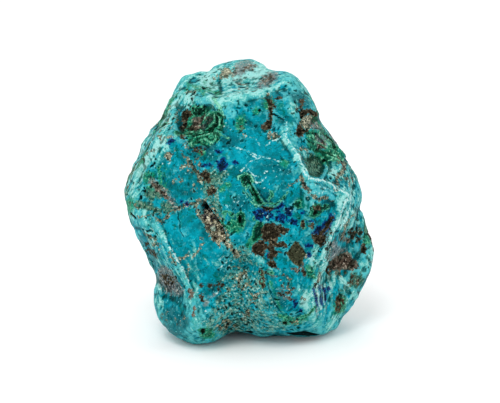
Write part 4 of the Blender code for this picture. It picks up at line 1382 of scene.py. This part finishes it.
@dataclass
class Nugget:
    """The stone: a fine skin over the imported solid, with small relief and its minerals' marks."""

    cells: int = 128  # along each side of the cube that becomes the skin
    front_share: float = 0.7  # how much finer the skin is in front than behind
    core_aside: float = -1.0 * MM  # where the whole skin is seen from, off the stone's middle
    core_below: float = 2.5 * MM
    smoothing: int = 150  # passes that take the solid's facets off
    regained: float = 0.505  # the share by which each of them is then undone, which keeps broad forms
    ridge_reach: int = 60  # passes of smoothing against which a ridge or a hollow is measured
    crumb_reach: int = 6  # and a crumb
    vug_depth: float = 2.4 * MM
    vug_rubble: float = 0.12  # the share by which the vug's depth varies
    vug_edge: Place = (-0.7, 1.0)
    vug: tuple[Mark, ...] = (
        Patch((201, 199, 205, 201, 209, 207, 213, 213, 219, 221, 223, 229, 225, 236, 224, 243, 219, 241,
            213, 236, 208, 228, 204, 220, 200, 214, 198.5, 206)),
    )
    vug_middle: Place = (212, 220)
    vug_reach: float = 34  # chart points from its middle within which the solid's hole is bridged
    vug_margin: float = 9.0  # chart points past the vug's outline that are bridged too
    vug_facing: float = 0.3
    bridging: int = 500  # passes that draw the bridge smooth
    swells: tuple[Raised, ...] = (
        (Line((320, 121, 332, 136, 346, 156, 355, 176, 359, 198, 357, 206), 0.0), -0.84, 15),
        (Line((268, 60, 252, 58), 0.0), 0.5, 11),
        (Line((218, 60, 206, 64, 196, 67, 187, 72, 179, 80), 0.0), 0.62, 13), (Spot(172, 88, 1, 1), 0.3, 9),
        (Spot(151, 127, 1, 1), 0.42, 9), (Spot(164, 117, 1, 1), -0.25, 6),
        (Line((139, 152, 134, 160, 131, 168), 0.0), -0.5, 12), (Line((136, 236, 140, 246), 0.0), 0.55, 11),
        (Line((374, 238, 372, 250), 0.0), 0.36, 14), (Spot(155, 281, 1, 1), -0.3, 9),
        (Spot(340, 315, 1, 1), -0.2, 12), (Spot(336, 328, 1, 1), 0.25, 8),
    )
    swell_facing: Place = (-0.8, -0.4)  # how far a swell runs round to the back
    calm: tuple[Mark, ...] = (
        Patch((226, 104, 262, 98, 290, 100, 298, 118, 285, 132, 292, 150, 300, 166, 304, 178, 298, 190,
            280, 196, 262, 186, 248, 190, 236, 200, 226, 190, 228, 165, 222, 148, 232, 140, 226, 124)),
        Patch((224, 206, 246, 206, 262, 214, 260, 240, 254, 256, 240, 246, 228, 230)),
        Patch((206, 72, 222, 62, 248, 58, 282, 66, 290, 78, 268, 92, 240, 98, 214, 92)),
        Patch((170, 222, 196, 212, 206, 228, 222, 246, 216, 262, 208, 290, 204, 330, 190, 330, 186, 290,
            176, 262, 168, 240)),
    )
    calm_share: float = 0.3  # of the rough relief, left on the calm planes
    calm_edge: Place = (-5, 5)  # chart points over which a calm plane starts
    calm_facing: Place = (0.0, 0.3)
    folds: tuple[Raised, ...] = (
        (Line((284, 136, 290, 145, 297, 156, 303, 166, 306, 176), 0.0), 0.26, 5),
        (Line((306, 176, 313, 179, 320, 180, 328, 182, 338, 187, 346, 195), 0.0), 0.22, 4),
        (Line((314, 187, 326, 189, 336, 195), 0.0), -0.12, 3),
        (Patch((306, 190, 316, 188, 330, 194, 338, 202, 332, 214, 318, 216, 306, 208)), 0.3, 6),
        (Spot(313, 185, 1, 1), 0.22, 3), (Spot(323, 189, 1, 1), -0.24, 3), (Spot(331, 197, 1, 1), 0.24, 3.5),
        (Spot(318, 201, 1, 1), 0.24, 3), (Spot(308, 198, 1, 1), -0.2, 3),
        (Line((345, 194, 345, 202, 341, 210, 337, 218, 332, 228, 329, 239, 326, 252, 322, 268, 316, 280),
            0.0), 0.3, 6),
        (Line((354, 186, 352, 202, 345, 216, 338, 232), 0.0), -0.16, 3.5),
        (Line((154, 216, 161, 230, 166, 245, 173, 258, 181, 272, 189, 286, 194, 300, 195, 322), 0.0), 0.2, 4),
        (Line((150, 226, 156, 240, 163, 256, 172, 272), 0.0), -0.16, 5),
        (Line((172, 100, 168, 116, 156, 142, 144, 158, 134, 178), 0.0), 0.3, 5),
        (Line((180, 96, 176, 112, 168, 130, 160, 142), 0.0), -0.14, 4),
        (Line((160, 148, 150, 160, 142, 172, 138, 188), 0.0), -0.2, 4),
        (Line((212, 99, 240, 97, 262, 93, 285, 83), 0.0), 0.16, 6),
        (Patch((226, 82, 246, 76, 264, 78, 262, 90, 244, 94, 228, 92)), 0.34, 8),
        (Line((186, 84, 198, 91, 211, 97, 216, 106), 0.0), 0.24, 4),
        (Patch((178, 106, 192, 101, 208, 104, 216, 116, 212, 130, 198, 132, 184, 132, 178, 120)), -0.6, 5),
        (Line((203, 122, 205, 115, 210, 110, 216, 112, 220, 118, 220, 126, 216, 131), 0.0), 0.42, 2.6),
        (Line((209, 124, 214, 119, 213, 112), 0.0), 0.3, 2),
        (Line((188, 146, 195, 138, 203, 134, 211, 133, 216, 130, 221, 133), 0.0), 0.36, 2.4),
        (Line((221, 133, 229, 138), 0.0), 0.12, 1.8),
        (Line((204, 137, 209, 141, 214, 141, 217, 136), 0.0), 0.3, 2),
        (Line((176, 132, 186, 134, 196, 131, 206, 130), 0.0), 0.26, 2.4),
        (Line((190, 140, 200, 141, 207, 145), 0.0), -0.24, 3),
        (Patch((310, 158, 320, 157, 323, 166, 319, 175, 311, 172)), -0.3, 3),
        (Line((306, 150, 316, 154, 324, 158, 327, 168, 322, 178), 0.0), 0.24, 2.2),
        (Line((304, 138, 309, 146, 312, 153), 0.0), 0.22, 2),
        (Line((310, 130, 318, 130, 326, 140, 336, 146, 345, 156), 0.0), 0.3, 2.2),
        (Line((308, 138, 316, 142, 324, 150, 334, 150), 0.0), 0.24, 2),
        (Line((318, 150, 328, 152, 338, 156), 0.0), -0.22, 3),
        (Line((320, 134, 324, 142, 321, 148), 0.0), -0.2, 3),
        (Patch((302, 113, 312, 112, 316, 118, 308, 126, 308, 132, 300, 132)), -0.26, 4),
        (Line((240, 240, 247, 249, 259, 261, 276, 270), 0.0), 0.16, 4),
        (Line((194, 248, 196, 262, 200, 280), 0.0), 0.12, 6),
        (Line((366, 261, 357, 270, 351, 284, 356, 296), 0.0), 0.24, 4),
        (Line((362, 252, 352, 262, 344, 276), 0.0), -0.16, 4),
        (Line((340, 282, 344, 296, 338, 312), 0.0), 0.18, 4),
        (Line((214, 246, 226, 258, 236, 268), 0.0), -0.14, 6),
        (Line((332, 262, 328, 276, 324, 296), 0.0), -0.22, 6),
        (Line((190, 146, 204, 147, 222, 146, 234, 143), 0.0), -0.12, 6),
        (Line((266, 272, 269, 288, 275, 304, 284, 316), 0.0), -0.1, 2.0),
        (Line((175, 209, 183, 205, 192, 203, 199, 200), 0.0), -0.14, 2.6),
        (Line((189, 162, 198, 174, 206, 184, 212, 192), 0.0), -0.12, 4),
        (Line((268, 96, 270, 110, 270, 126), 0.0), -0.16, 3.6),
        (Line((240, 176, 247, 174, 253, 184, 260, 196, 266, 205, 276, 206, 283, 201), 0.0), 0.2, 2.2),
        (Line((249, 180, 256, 194, 262, 202), 0.0), -0.24, 1.8),
        (Patch((256, 226, 272, 224, 282, 230, 276, 244, 282, 254, 268, 260, 254, 252, 260, 240)), -0.2, 4),
        (Patch((290, 244, 299, 244, 306, 254, 301, 265, 291, 260)), -0.16, 3),
    )
    rugged_middle: float = 0.8
    rugged_swing: float = 0.35
    least_rugged: float = 0.15
    sway: float = 1.3  # chart points by which marks are pushed about
    edge_fade: float = 60  # how fast marks end where the skin turns away from their chart
    front_facing: float = 0.3  # how squarely the skin may face the front for the other charts' marks to show
    front_fade: float = 40
    mineral_edge: Place = (-0.8, 1.6)  # chart points over which a mineral's relief starts
    band_height: float = 0.04  # this and the next three are in millimetres
    rubble_height: float = 0.02
    streak_height: float = 0.06
    pit_depth: float = 0.3
    steep: Place = (0.8, 0.4)  # the facings where streaks start to stand out, and do so in full
    pit_levels: Place = (0.36, 0.56)
    pit_area_levels: Place = (0.0, 0.4)
    ridge_unit: float = 0.1 * MM
    crumb_unit: float = 0.01 * MM
    proud: float = 0.3 * MM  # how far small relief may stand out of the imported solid's box
    points: np.ndarray = field(init=False)
    faces: np.ndarray = field(init=False)
    around: np.ndarray = field(init=False)

    def core(self) -> np.ndarray:
        """The place from which the whole skin is seen."""
        lean = math.radians(FRONT.elevation)
        below = np.array([0.0, math.sin(lean), math.cos(lean)]) * self.core_below
        return np.array(MIDDLE) + np.array([self.core_aside, 0.0, 0.0]) - below

    def lay_grid(self) -> np.ndarray:
        """Makes the skin's faces as a cube's grid, closer together in front.

        Returns:
            The direction of each point of the skin from the core.
        """
        steps = np.linspace(-1, 1, self.cells + 1)
        across, down = np.meshgrid(np.tan(steps * math.pi / 4), np.tan(steps * math.pi / 4), indexing="ij")
        ones = np.ones_like(across)
        sides = [
            (across, down, ones), (down, across, -ones),
            (down, ones, across), (across, -ones, down),
            (ones, across, down), (-ones, down, across),
        ]
        corners = np.concatenate([np.stack(side, axis=-1).reshape(-1, 3) for side in sides])
        rows, columns = np.meshgrid(np.arange(self.cells), np.arange(self.cells), indexing="ij")
        first = (rows * (self.cells + 1) + columns).reshape(-1)
        quad = np.stack([first, first + self.cells + 1, first + self.cells + 2, first + 1], axis=1)
        quads = np.concatenate([quad + side * (self.cells + 1) ** 2 for side in range(6)])
        _, kept, joined = np.unique(np.round(corners, 6), axis=0, return_index=True, return_inverse=True)
        self.faces = joined.reshape(-1)[quads]
        directions = corners[kept] / np.linalg.norm(corners[kept], axis=1, keepdims=True)
        return self.zoomed(directions)

    def zoomed(self, directions: np.ndarray) -> np.ndarray:
        """Draws directions together towards the front, without shear.

        Args:
            directions: unit vectors, one row each.

        Returns:
            The new unit vectors.
        """
        front = unit(FRONT.azimuth, FRONT.elevation)
        lengthwise = directions @ front
        aside = directions - lengthwise[:, None] * front
        flat = aside / (1 + lengthwise)[:, None].clip(1e-9) * self.front_share
        square = (flat**2).sum(axis=1)[:, None]
        return (2 * flat + (1 - square) * front) / (1 + square)

    def find_neighbours(self) -> None:
        """Lists the four points next to each point, or three and the point itself at the cube's corners."""
        ends = np.concatenate([self.faces[:, [k, (k + 1) % 4]] for k in range(4)])
        ends = np.unique(np.concatenate([ends, ends[:, ::-1]]), axis=0)
        starts, firsts = np.unique(ends[:, 0], return_index=True)
        self.around = np.repeat(starts[:, None], 4, axis=1)
        order = np.arange(len(ends)) - firsts[np.searchsorted(starts, ends[:, 0])]
        self.around[ends[:, 0], order] = ends[:, 1]

    def smoothed(self, values: np.ndarray, passes: int, regained: float = 0.0) -> np.ndarray:
        """Draws values at the points halfway to their neighbours' so many times.

        Args:
            values: a number or a place for each point.
            passes: how many times they are drawn together.
            regained: the share by which they are drawn apart again after each pass.

        Returns:
            The new values.
        """
        for _ in range(passes):
            values = values + 0.5 * (values[self.around].mean(axis=1) - values)
            if regained:
                values = values - regained * (values[self.around].mean(axis=1) - values)
        return values

    def normals(self) -> np.ndarray:
        """Finds the outward normal at each point.

        Returns:
            Unit vectors, one row for each point.
        """
        corners = self.points[self.faces]
        across = np.cross(corners[:, 2] - corners[:, 0], corners[:, 3] - corners[:, 1])
        found = np.zeros_like(self.points)
        for k in range(4):
            np.add.at(found, self.faces[:, k], across)
        return found / np.linalg.norm(found, axis=1, keepdims=True)

    def bridged(self, directions: np.ndarray, radii: np.ndarray) -> np.ndarray:
        """Closes the skin over the vug's mouth.

        Args:
            directions: the direction of each point from the core.
            radii: how far out the solid is in that direction.

        Returns:
            The radii, with a smooth bridge over the vug.
        """
        u, v, facing = FRONT.laid(self.core() + directions * radii[:, None], directions)
        near = np.hypot(u - self.vug_middle[0], v - self.vug_middle[1]) < self.vug_reach
        mouth = np.nonzero((drawn(self.vug, u, v) > -self.vug_margin) & near & (facing > self.vug_facing))[0]
        for _ in range(self.bridging):
            radii[mouth] = radii[self.around[mouth]].mean(axis=1)
        return radii

    def wrap(self, node: bpy.types.Object) -> None:
        """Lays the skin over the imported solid, closes it over the vug and smooths the solid's facets.

        Args:
            node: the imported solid.
        """
        solid = merged_copy(node)
        tree = BVHTree.FromBMesh(solid)
        solid.free()
        directions, core = self.lay_grid(), self.core()
        self.find_neighbours()
        radii = np.empty(len(directions))
        for index, direction in enumerate(directions):
            hit = tree.ray_cast(Vector(core + direction * FAR), Vector(-direction))
            radii[index] = FAR - hit[3]
        radii = self.smoothed(self.bridged(directions, radii), self.smoothing, self.regained)
        self.points = core + directions * radii[:, None]

    def swell(self) -> None:
        """Raises and lowers the skin's broad swells."""
        normals = self.normals()
        u, v, facing = FRONT.laid(self.points, normals)
        for mark, height, width in self.swells:
            reach = np.clip(1 + mark.depth(u, v) / width, 0, 1) * smooth_step(*self.swell_facing, facing)
            self.points = self.points + normals * (rounded(reach) * height * MM)[:, None]

    def mark_depths(self) -> dict[Mineral, np.ndarray]:
        """Finds how deep inside each mineral's marks every point lies, on whichever chart it is deepest.

        Returns:
            The depths of every mineral, in chart points.
        """
        normals = self.normals()
        sways = [Lumps(1.7 * MM, start, 2).at(self.points) * self.sway for start in (3.0, 40.0)]
        depths = {mineral: np.full(len(self.points), OUTSIDE) for mineral in Mineral}
        forward = FRONT.laid(self.points, normals)[2]
        for chart, marks in CHART_MARKS.items():
            u, v, facing = chart.laid(self.points, normals)
            edge_on = np.minimum(facing - chart.least_facing, 0) * self.edge_fade
            if chart is not FRONT:
                edge_on = edge_on + np.minimum(self.front_facing - forward, 0) * self.front_fade
            for mineral, drawn_marks in marks.items():
                found = drawn(drawn_marks, u + sways[0], v + sways[1]) + edge_on
                depths[mineral] = np.maximum(depths[mineral], found)
        return depths

    def ruggedness(self) -> np.ndarray:
        """Finds how rough each point's surroundings are.

        Returns:
            A number for each point, from the calm planes' share to 1.
        """
        u, v, facing = FRONT.laid(self.points, self.normals())
        calm = smooth_step(*self.calm_edge, drawn(self.calm, u, v)) * smooth_step(*self.calm_facing, facing)
        rough = self.rugged_middle + self.rugged_swing * Lumps(8 * MM, 21.0).at(self.points)
        return np.clip(rough * (1 - calm) + self.calm_share * calm, self.least_rugged, 1.0)

    def relief(
        self, depths: dict[Mineral, np.ndarray], rugged: np.ndarray, streak: np.ndarray, pitted: np.ndarray
    ) -> tuple[np.ndarray, np.ndarray]:
        """Finds how far the small relief raises each point, and how far the vug is dug there.

        Args:
            depths: how deep inside each mineral's marks the points lie.
            rugged: how rough each point's surroundings are.
            streak: the streaked noise at each point.
            pitted: how far into a small pit each point lies, from 0 to 1.

        Returns:
            The heights and the vug's depths, in metres.
        """
        u, v, facing = FRONT.laid(self.points, self.normals())
        rubble = Lumps(0.55 * MM, 2.0, 2).at(self.points)
        knobs = Lumps(2.6 * MM, 14.0, 2, height=0.26).at(self.points)
        creases = Creases(4.4 * MM, 2, height=0.42).at(self.points)
        raised = Lumps(3.2 * MM, 5.0, height=0.09).at(self.points) + rubble * self.rubble_height
        raised += rugged * (knobs + creases)
        raised += streak * self.streak_height * smooth_step(*self.steep, facing) - self.pit_depth * pitted
        for fold, height, width in self.folds:
            reach = np.clip(1 + fold.depth(u, v) / width, 0, 1)
            raised += np.where(facing > 0, height * rounded(reach), 0)
        for mineral, finish in FINISHES.items():
            inside = smooth_step(*self.mineral_edge, depths[mineral])
            raised += inside * (finish.relief + finish.rubble * rubble)
            if finish.bands:
                wave = np.cos(depths[mineral] * 2 * math.pi / finish.bands)
                raised += inside * self.band_height * wave
        dug = np.where(facing > 0, smooth_step(*self.vug_edge, drawn(self.vug, u, v)), 0)
        return raised * MM, dug * self.vug_depth * (1 + self.vug_rubble * rubble)

    def wear(self, raised: np.ndarray, dug: np.ndarray) -> None:
        """Moves the skin by its small relief, digs the vug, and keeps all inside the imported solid's box.

        Args:
            raised: how far each point is raised, in metres.
            dug: how far it then moves towards the core.
        """
        self.points = self.points + self.normals() * raised[:, None]
        inward = self.core() - self.points
        inward /= np.linalg.norm(inward, axis=1, keepdims=True)
        self.points += inward * dug[:, None]
        spare = np.array([self.proud, self.proud, 0.0])
        self.points = np.clip(self.points, np.array(CAD_BOX[0]) - spare, np.array(CAD_BOX[1]) + self.proud)

    def standing_out(self, passes: int) -> np.ndarray:
        """How far each point stands out, in metres, from the skin smoothed by so many passes."""
        calm = self.smoothed(self.points, passes)
        return ((self.points - calm) * self.normals()).sum(axis=1)

    def build(self) -> bpy.types.Object:
        """Makes the stone's piece.

        Returns:
            The finished object, with its attributes and material.
        """
        self.wrap(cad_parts["stone"])
        self.swell()
        values_of = {"ridge": self.standing_out(self.ridge_reach) / self.ridge_unit}
        depths = self.mark_depths()
        rugged = self.ruggedness()
        streak = Streaks(0.7 * MM, 4.5 * MM).at(self.points)
        crowded = smooth_step(*self.pit_area_levels, Lumps(5 * MM, 73.0).at(self.points))
        pitted = smooth_step(*self.pit_levels, Lumps(0.8 * MM, 60.0, 2).at(self.points)) * crowded * rugged
        self.wear(*self.relief(depths, rugged, streak, pitted))
        values_of |= {"crumb": self.standing_out(self.crumb_reach) / self.crumb_unit}
        values_of |= {"rugged": rugged, "streak": streak, "pitted": pitted}
        values_of |= {mineral.value: depth for mineral, depth in depths.items()}
        mesh = bpy.data.meshes.new("stone_skin")
        mesh.from_pydata(self.points.tolist(), [], self.faces.tolist())
        mesh.validate()
        mesh.shade_smooth()
        for name, values in values_of.items():
            mesh.attributes.new(name, "FLOAT", "POINT").data.foreach_set("value", values.astype(np.float32))
        mesh.materials.append(StoneShader().build())
        log.info("stone skin: %d points, %d faces", len(self.points), len(self.faces))
        piece = bpy.data.objects.new("stone_skin", mesh)
        bpy.context.scene.collection.objects.link(piece)
        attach(piece, "root")
        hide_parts("stone")
        return piece


@dataclass
class Druse:
    """The quartz points that line the vug."""

    crystal_width: float = 0.34 * MM
    crystal_length: float = 0.62 * MM
    crystal_sizes: Place = (0.45, 1.15)  # the least and greatest share of that size
    crystal_sides: int = 6
    crowding: float = 7.5e6  # crystals to the square metre
    tilt: float = 0.5  # most that a crystal leans, in radians
    seed: int = 12
    stain: Noise = Noise(0.9 * MM, 4, 0.6, 0.5)
    stops: tuple[tuple[float, Colour], ...] = (
        (0.4, (26, 24, 18)), (0.47, (112, 108, 84)), (0.56, (178, 172, 142)), (0.68, (236, 232, 210)),
    )
    teal_areas: Noise = Noise(1.6 * MM, offset=(0.4, 0.8, 0.1))
    teal: Tint = Tint((70, 150, 144), 0.58, 0.68, 0.6)
    overhang_shadow: Tint = Tint((10, 10, 8), 23.3 * MM, 23.6 * MM, 0.97)  # painted shadow over the vug's upper part, by its height
    stain_drop: float = 15 * MM  # how far the stain moves that height, so that pale crystals stay lit
    rough: float = 0.3
    ior: float = 1.54

    def material(self) -> bpy.types.Material:
        """Makes cloudy tan quartz, paler at its points and stained brown between them, with painted shadow
        over its upper part.

        Returns:
            The material of the bed and its crystals.
        """
        shader = Shader("quartz_points")
        stain = shader.noise(self.stain)
        colour = shader.tinted(shader.ramp(stain, self.stops), shader.noise(self.teal_areas), self.teal)
        height = shader.add("ShaderNodeSeparateXYZ", Vector=shader.place).outputs["Z"]
        height = shader.plus(height, shader.math("SUBTRACT", 0.5, stain), self.stain_drop)
        # painted shadow over the vug's upper part, broken by the stain
        shader.finished(shader.tinted(colour, height, self.overhang_shadow), self.rough, self.ior)
        return shader.material

    def crystal(self, tree: NodeTree, width: Socket, length: Socket) -> Socket:
        """Adds one crystal: a shaft with a point on it.

        Args:
            tree: the tree that it is added to.
            width: its width.
            length: the length of its shaft.

        Returns:
            The crystal's geometry, upright from its foot.
        """
        half, sides = tree.math("MULTIPLY", width, 0.5), self.crystal_sides
        kind = "GeometryNodeMeshCone"
        shaft = tree.add(kind, Vertices=sides, Radius_Bottom=half, Radius_Top=half, Depth=length)
        tip = tree.add(kind, Vertices=sides, Radius_Bottom=half, Radius_Top=0.0, Depth=half)
        up = tree.add("ShaderNodeCombineXYZ", Z=length).outputs[0]
        on_top = tree.add("GeometryNodeTransform", Geometry=tip.outputs["Mesh"], Translation=up)
        return joined(tree, shaft.outputs["Mesh"], on_top.outputs["Geometry"])

    def growth(self, material: bpy.types.Material) -> bpy.types.GeometryNodeTree:
        """Makes the tree that grows six-sided points over a bed.

        Args:
            material: the finish of the bed and its crystals.

        Returns:
            A tree with inputs for the crystals' size, number, lean and seed.
        """
        group = bpy.data.node_groups.new("quartz_growth", "GeometryNodeTree")
        face = group.interface
        face.new_socket("Geometry", in_out="OUTPUT", socket_type="NodeSocketGeometry")
        face.new_socket("Bed", in_out="INPUT", socket_type="NodeSocketGeometry")
        for name in ("Width", "Length", "Crowding", "Tilt"):
            face.new_socket(name, in_out="INPUT", socket_type="NodeSocketFloat")
        face.new_socket("Seed", in_out="INPUT", socket_type="NodeSocketInt")
        tree = NodeTree(group)
        given = tree.add("NodeGroupInput").outputs
        bed, seed = given["Bed"], given["Seed"]
        crystal = self.crystal(tree, given["Width"], given["Length"])
        kind = "GeometryNodeDistributePointsOnFaces"
        spots = tree.add(kind, Mesh=bed, Density=given["Crowding"], Seed=seed)
        leans = [
            tree.add("ShaderNodeCombineXYZ", X=most, Y=most).outputs[0]
            for most in (tree.math("MULTIPLY", given["Tilt"], -1.0), given["Tilt"])
        ]
        random = "FunctionNodeRandomValue"
        lean = tree.add(random, {"data_type": "FLOAT_VECTOR"}, i0=leans[0], i1=leans[1], Seed=seed).outputs[0]
        size = tree.add(random, i2=self.crystal_sizes[0], i3=self.crystal_sizes[1], Seed=seed).outputs[1]
        turned = tree.add(
            "FunctionNodeRotateRotation", {"rotation_space": "LOCAL"}, i0=spots.outputs["Rotation"], i1=lean
        ).outputs[0]
        grown = tree.add(
            "GeometryNodeInstanceOnPoints", Points=spots.outputs["Points"], Instance=crystal,
            Rotation=turned, Scale=size,
        ).outputs[0]
        real = tree.add("GeometryNodeRealizeInstances", i0=joined(tree, bed, grown)).outputs[0]
        finished = tree.add("GeometryNodeSetMaterial", Geometry=real, Material=material).outputs[0]
        tree.add("NodeGroupOutput", i0=finished)
        return group

    def build(self) -> bpy.types.Object:
        """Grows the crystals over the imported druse's bed.

        Returns:
            The finished object.
        """
        bed = merged_copy(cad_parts["vug_druse"])
        mesh = bpy.data.meshes.new("quartz_bed")
        bed.to_mesh(mesh)
        bed.free()
        grower = bpy.data.objects.new("quartz_bed", mesh)
        bpy.context.scene.collection.objects.link(grower)
        modifier = grower.modifiers.new("growth", "NODES")
        modifier.node_group = self.growth(self.material())
        chosen = {
            "Width": self.crystal_width, "Length": self.crystal_length,
            "Crowding": self.crowding, "Tilt": self.tilt, "Seed": self.seed,
        }
        for item in modifier.node_group.interface.items_tree:
            if item.name in chosen:
                modifier[item.identifier] = chosen[item.name]
        evaluated = grower.evaluated_get(bpy.context.evaluated_depsgraph_get())
        grown = bpy.data.meshes.new_from_object(evaluated)
        grown.name = "quartz_druse"
        bpy.data.objects.remove(grower, do_unlink=True)
        log.info("quartz druse: %d faces", len(grown.polygons))
        piece = bpy.data.objects.new("quartz_druse", grown)
        bpy.context.scene.collection.objects.link(piece)
        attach(piece, "root")
        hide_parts("vug_druse")
        return piece


def joined(tree: NodeTree, *pieces: Socket) -> Socket:
    """Joins pieces of geometry into one.

    Args:
        tree: the tree that they are in.
        pieces: the pieces.

    Returns:
        The joined geometry.
    """
    node = tree.add("GeometryNodeJoinGeometry")
    for piece in pieces:
        tree.tree.links.new(piece, node.inputs[0])
    return node.outputs[0]


@dataclass(frozen=True)
class Lamp:
    """A square soft light that looks at the stone."""

    name: str
    azimuth: float  # its direction round the stone in degrees, 0 in front
    elevation: float  # how far above the horizon it hangs, in degrees
    away: float  # its distance in metres
    size: float  # its width in metres
    power: float  # in watts

    def hang(self) -> None:
        """Hangs the light in the scene."""
        light = bpy.data.lights.new(self.name, "AREA")
        light.energy = self.power
        light.size = self.size
        lamp = bpy.data.objects.new(self.name, light)
        lamp.location = MIDDLE + Vector(unit(self.azimuth, self.elevation)) * self.away
        lamp.rotation_euler = (MIDDLE - lamp.location).to_track_quat("-Z", "Y").to_euler()
        bpy.context.scene.collection.objects.link(lamp)


@dataclass
class Studio:
    """The pale floor, the soft lights and the camera."""

    lens: float = 135.0
    sensor: float = 36.0
    nearest: float = 0.01  # what is closer to the camera isn't seen, in metres
    floor_half: float = 1.5
    floor_paint: Colour = (252, 252, 252)
    floor_rough: float = 0.9
    floor_ior: float = 1.5
    sky: float = 0.785
    lamps: tuple[Lamp, ...] = (
        Lamp("key", -20, 55, 0.5, 0.22, 1.0),
        Lamp("left_box", -75, 25, 0.45, 0.3, 0.28),
        Lamp("right_box", 75, 25, 0.45, 0.3, 0.34),
        Lamp("back_box", 180, 45, 0.6, 0.4, 0.7),
    )

    def lay_floor(self) -> None:
        """Lays the pale floor under the stone."""
        mesh = bpy.data.meshes.new("floor")
        reach = self.floor_half
        corners = [(-reach, -reach, 0), (reach, -reach, 0), (reach, reach, 0), (-reach, reach, 0)]
        mesh.from_pydata(corners, [], [(0, 1, 2, 3)])
        shader = Shader("pale_floor")
        shader.finished(paint(self.floor_paint), self.floor_rough, self.floor_ior)
        mesh.materials.append(shader.material)
        floor = bpy.data.objects.new("floor", mesh)
        bpy.context.scene.collection.objects.link(floor)

    def set_camera(self) -> None:
        """Sets the camera square on to the broad front."""
        camera = bpy.data.cameras.new("camera")
        camera.lens = self.lens
        camera.sensor_width = self.sensor
        camera.clip_start = self.nearest
        holder = bpy.data.objects.new("camera", camera)
        holder.location = MIDDLE + Vector(unit(FRONT.azimuth, FRONT.elevation)) * EYE
        holder.rotation_euler = (MIDDLE - holder.location).to_track_quat("-Z", "Y").to_euler()
        bpy.context.scene.collection.objects.link(holder)
        bpy.context.scene.camera = holder

    def build(self) -> None:
        """Makes the whole studio round the stone."""
        scene = bpy.context.scene
        scene.view_settings.view_transform = "Standard"
        world = bpy.data.worlds.new("soft_sky")
        world.use_nodes = True
        world.node_tree.nodes["Background"].inputs["Color"].default_value = (1, 1, 1, 1)
        world.node_tree.nodes["Background"].inputs["Strength"].default_value = self.sky
        scene.world = world
        self.lay_floor()
        for lamp in self.lamps:
            lamp.hang()
        self.set_camera()
        log.info("studio: floor, %d soft lights and the camera", len(self.lamps))


def main() -> None:
    """Builds and dresses the stone, its druse and the studio."""
    logging.basicConfig(level=logging.INFO, format="%(name)s: %(message)s")
    Nugget().build()
    Druse().build()
    Studio().build()


if __name__ == "__main__":
    main()
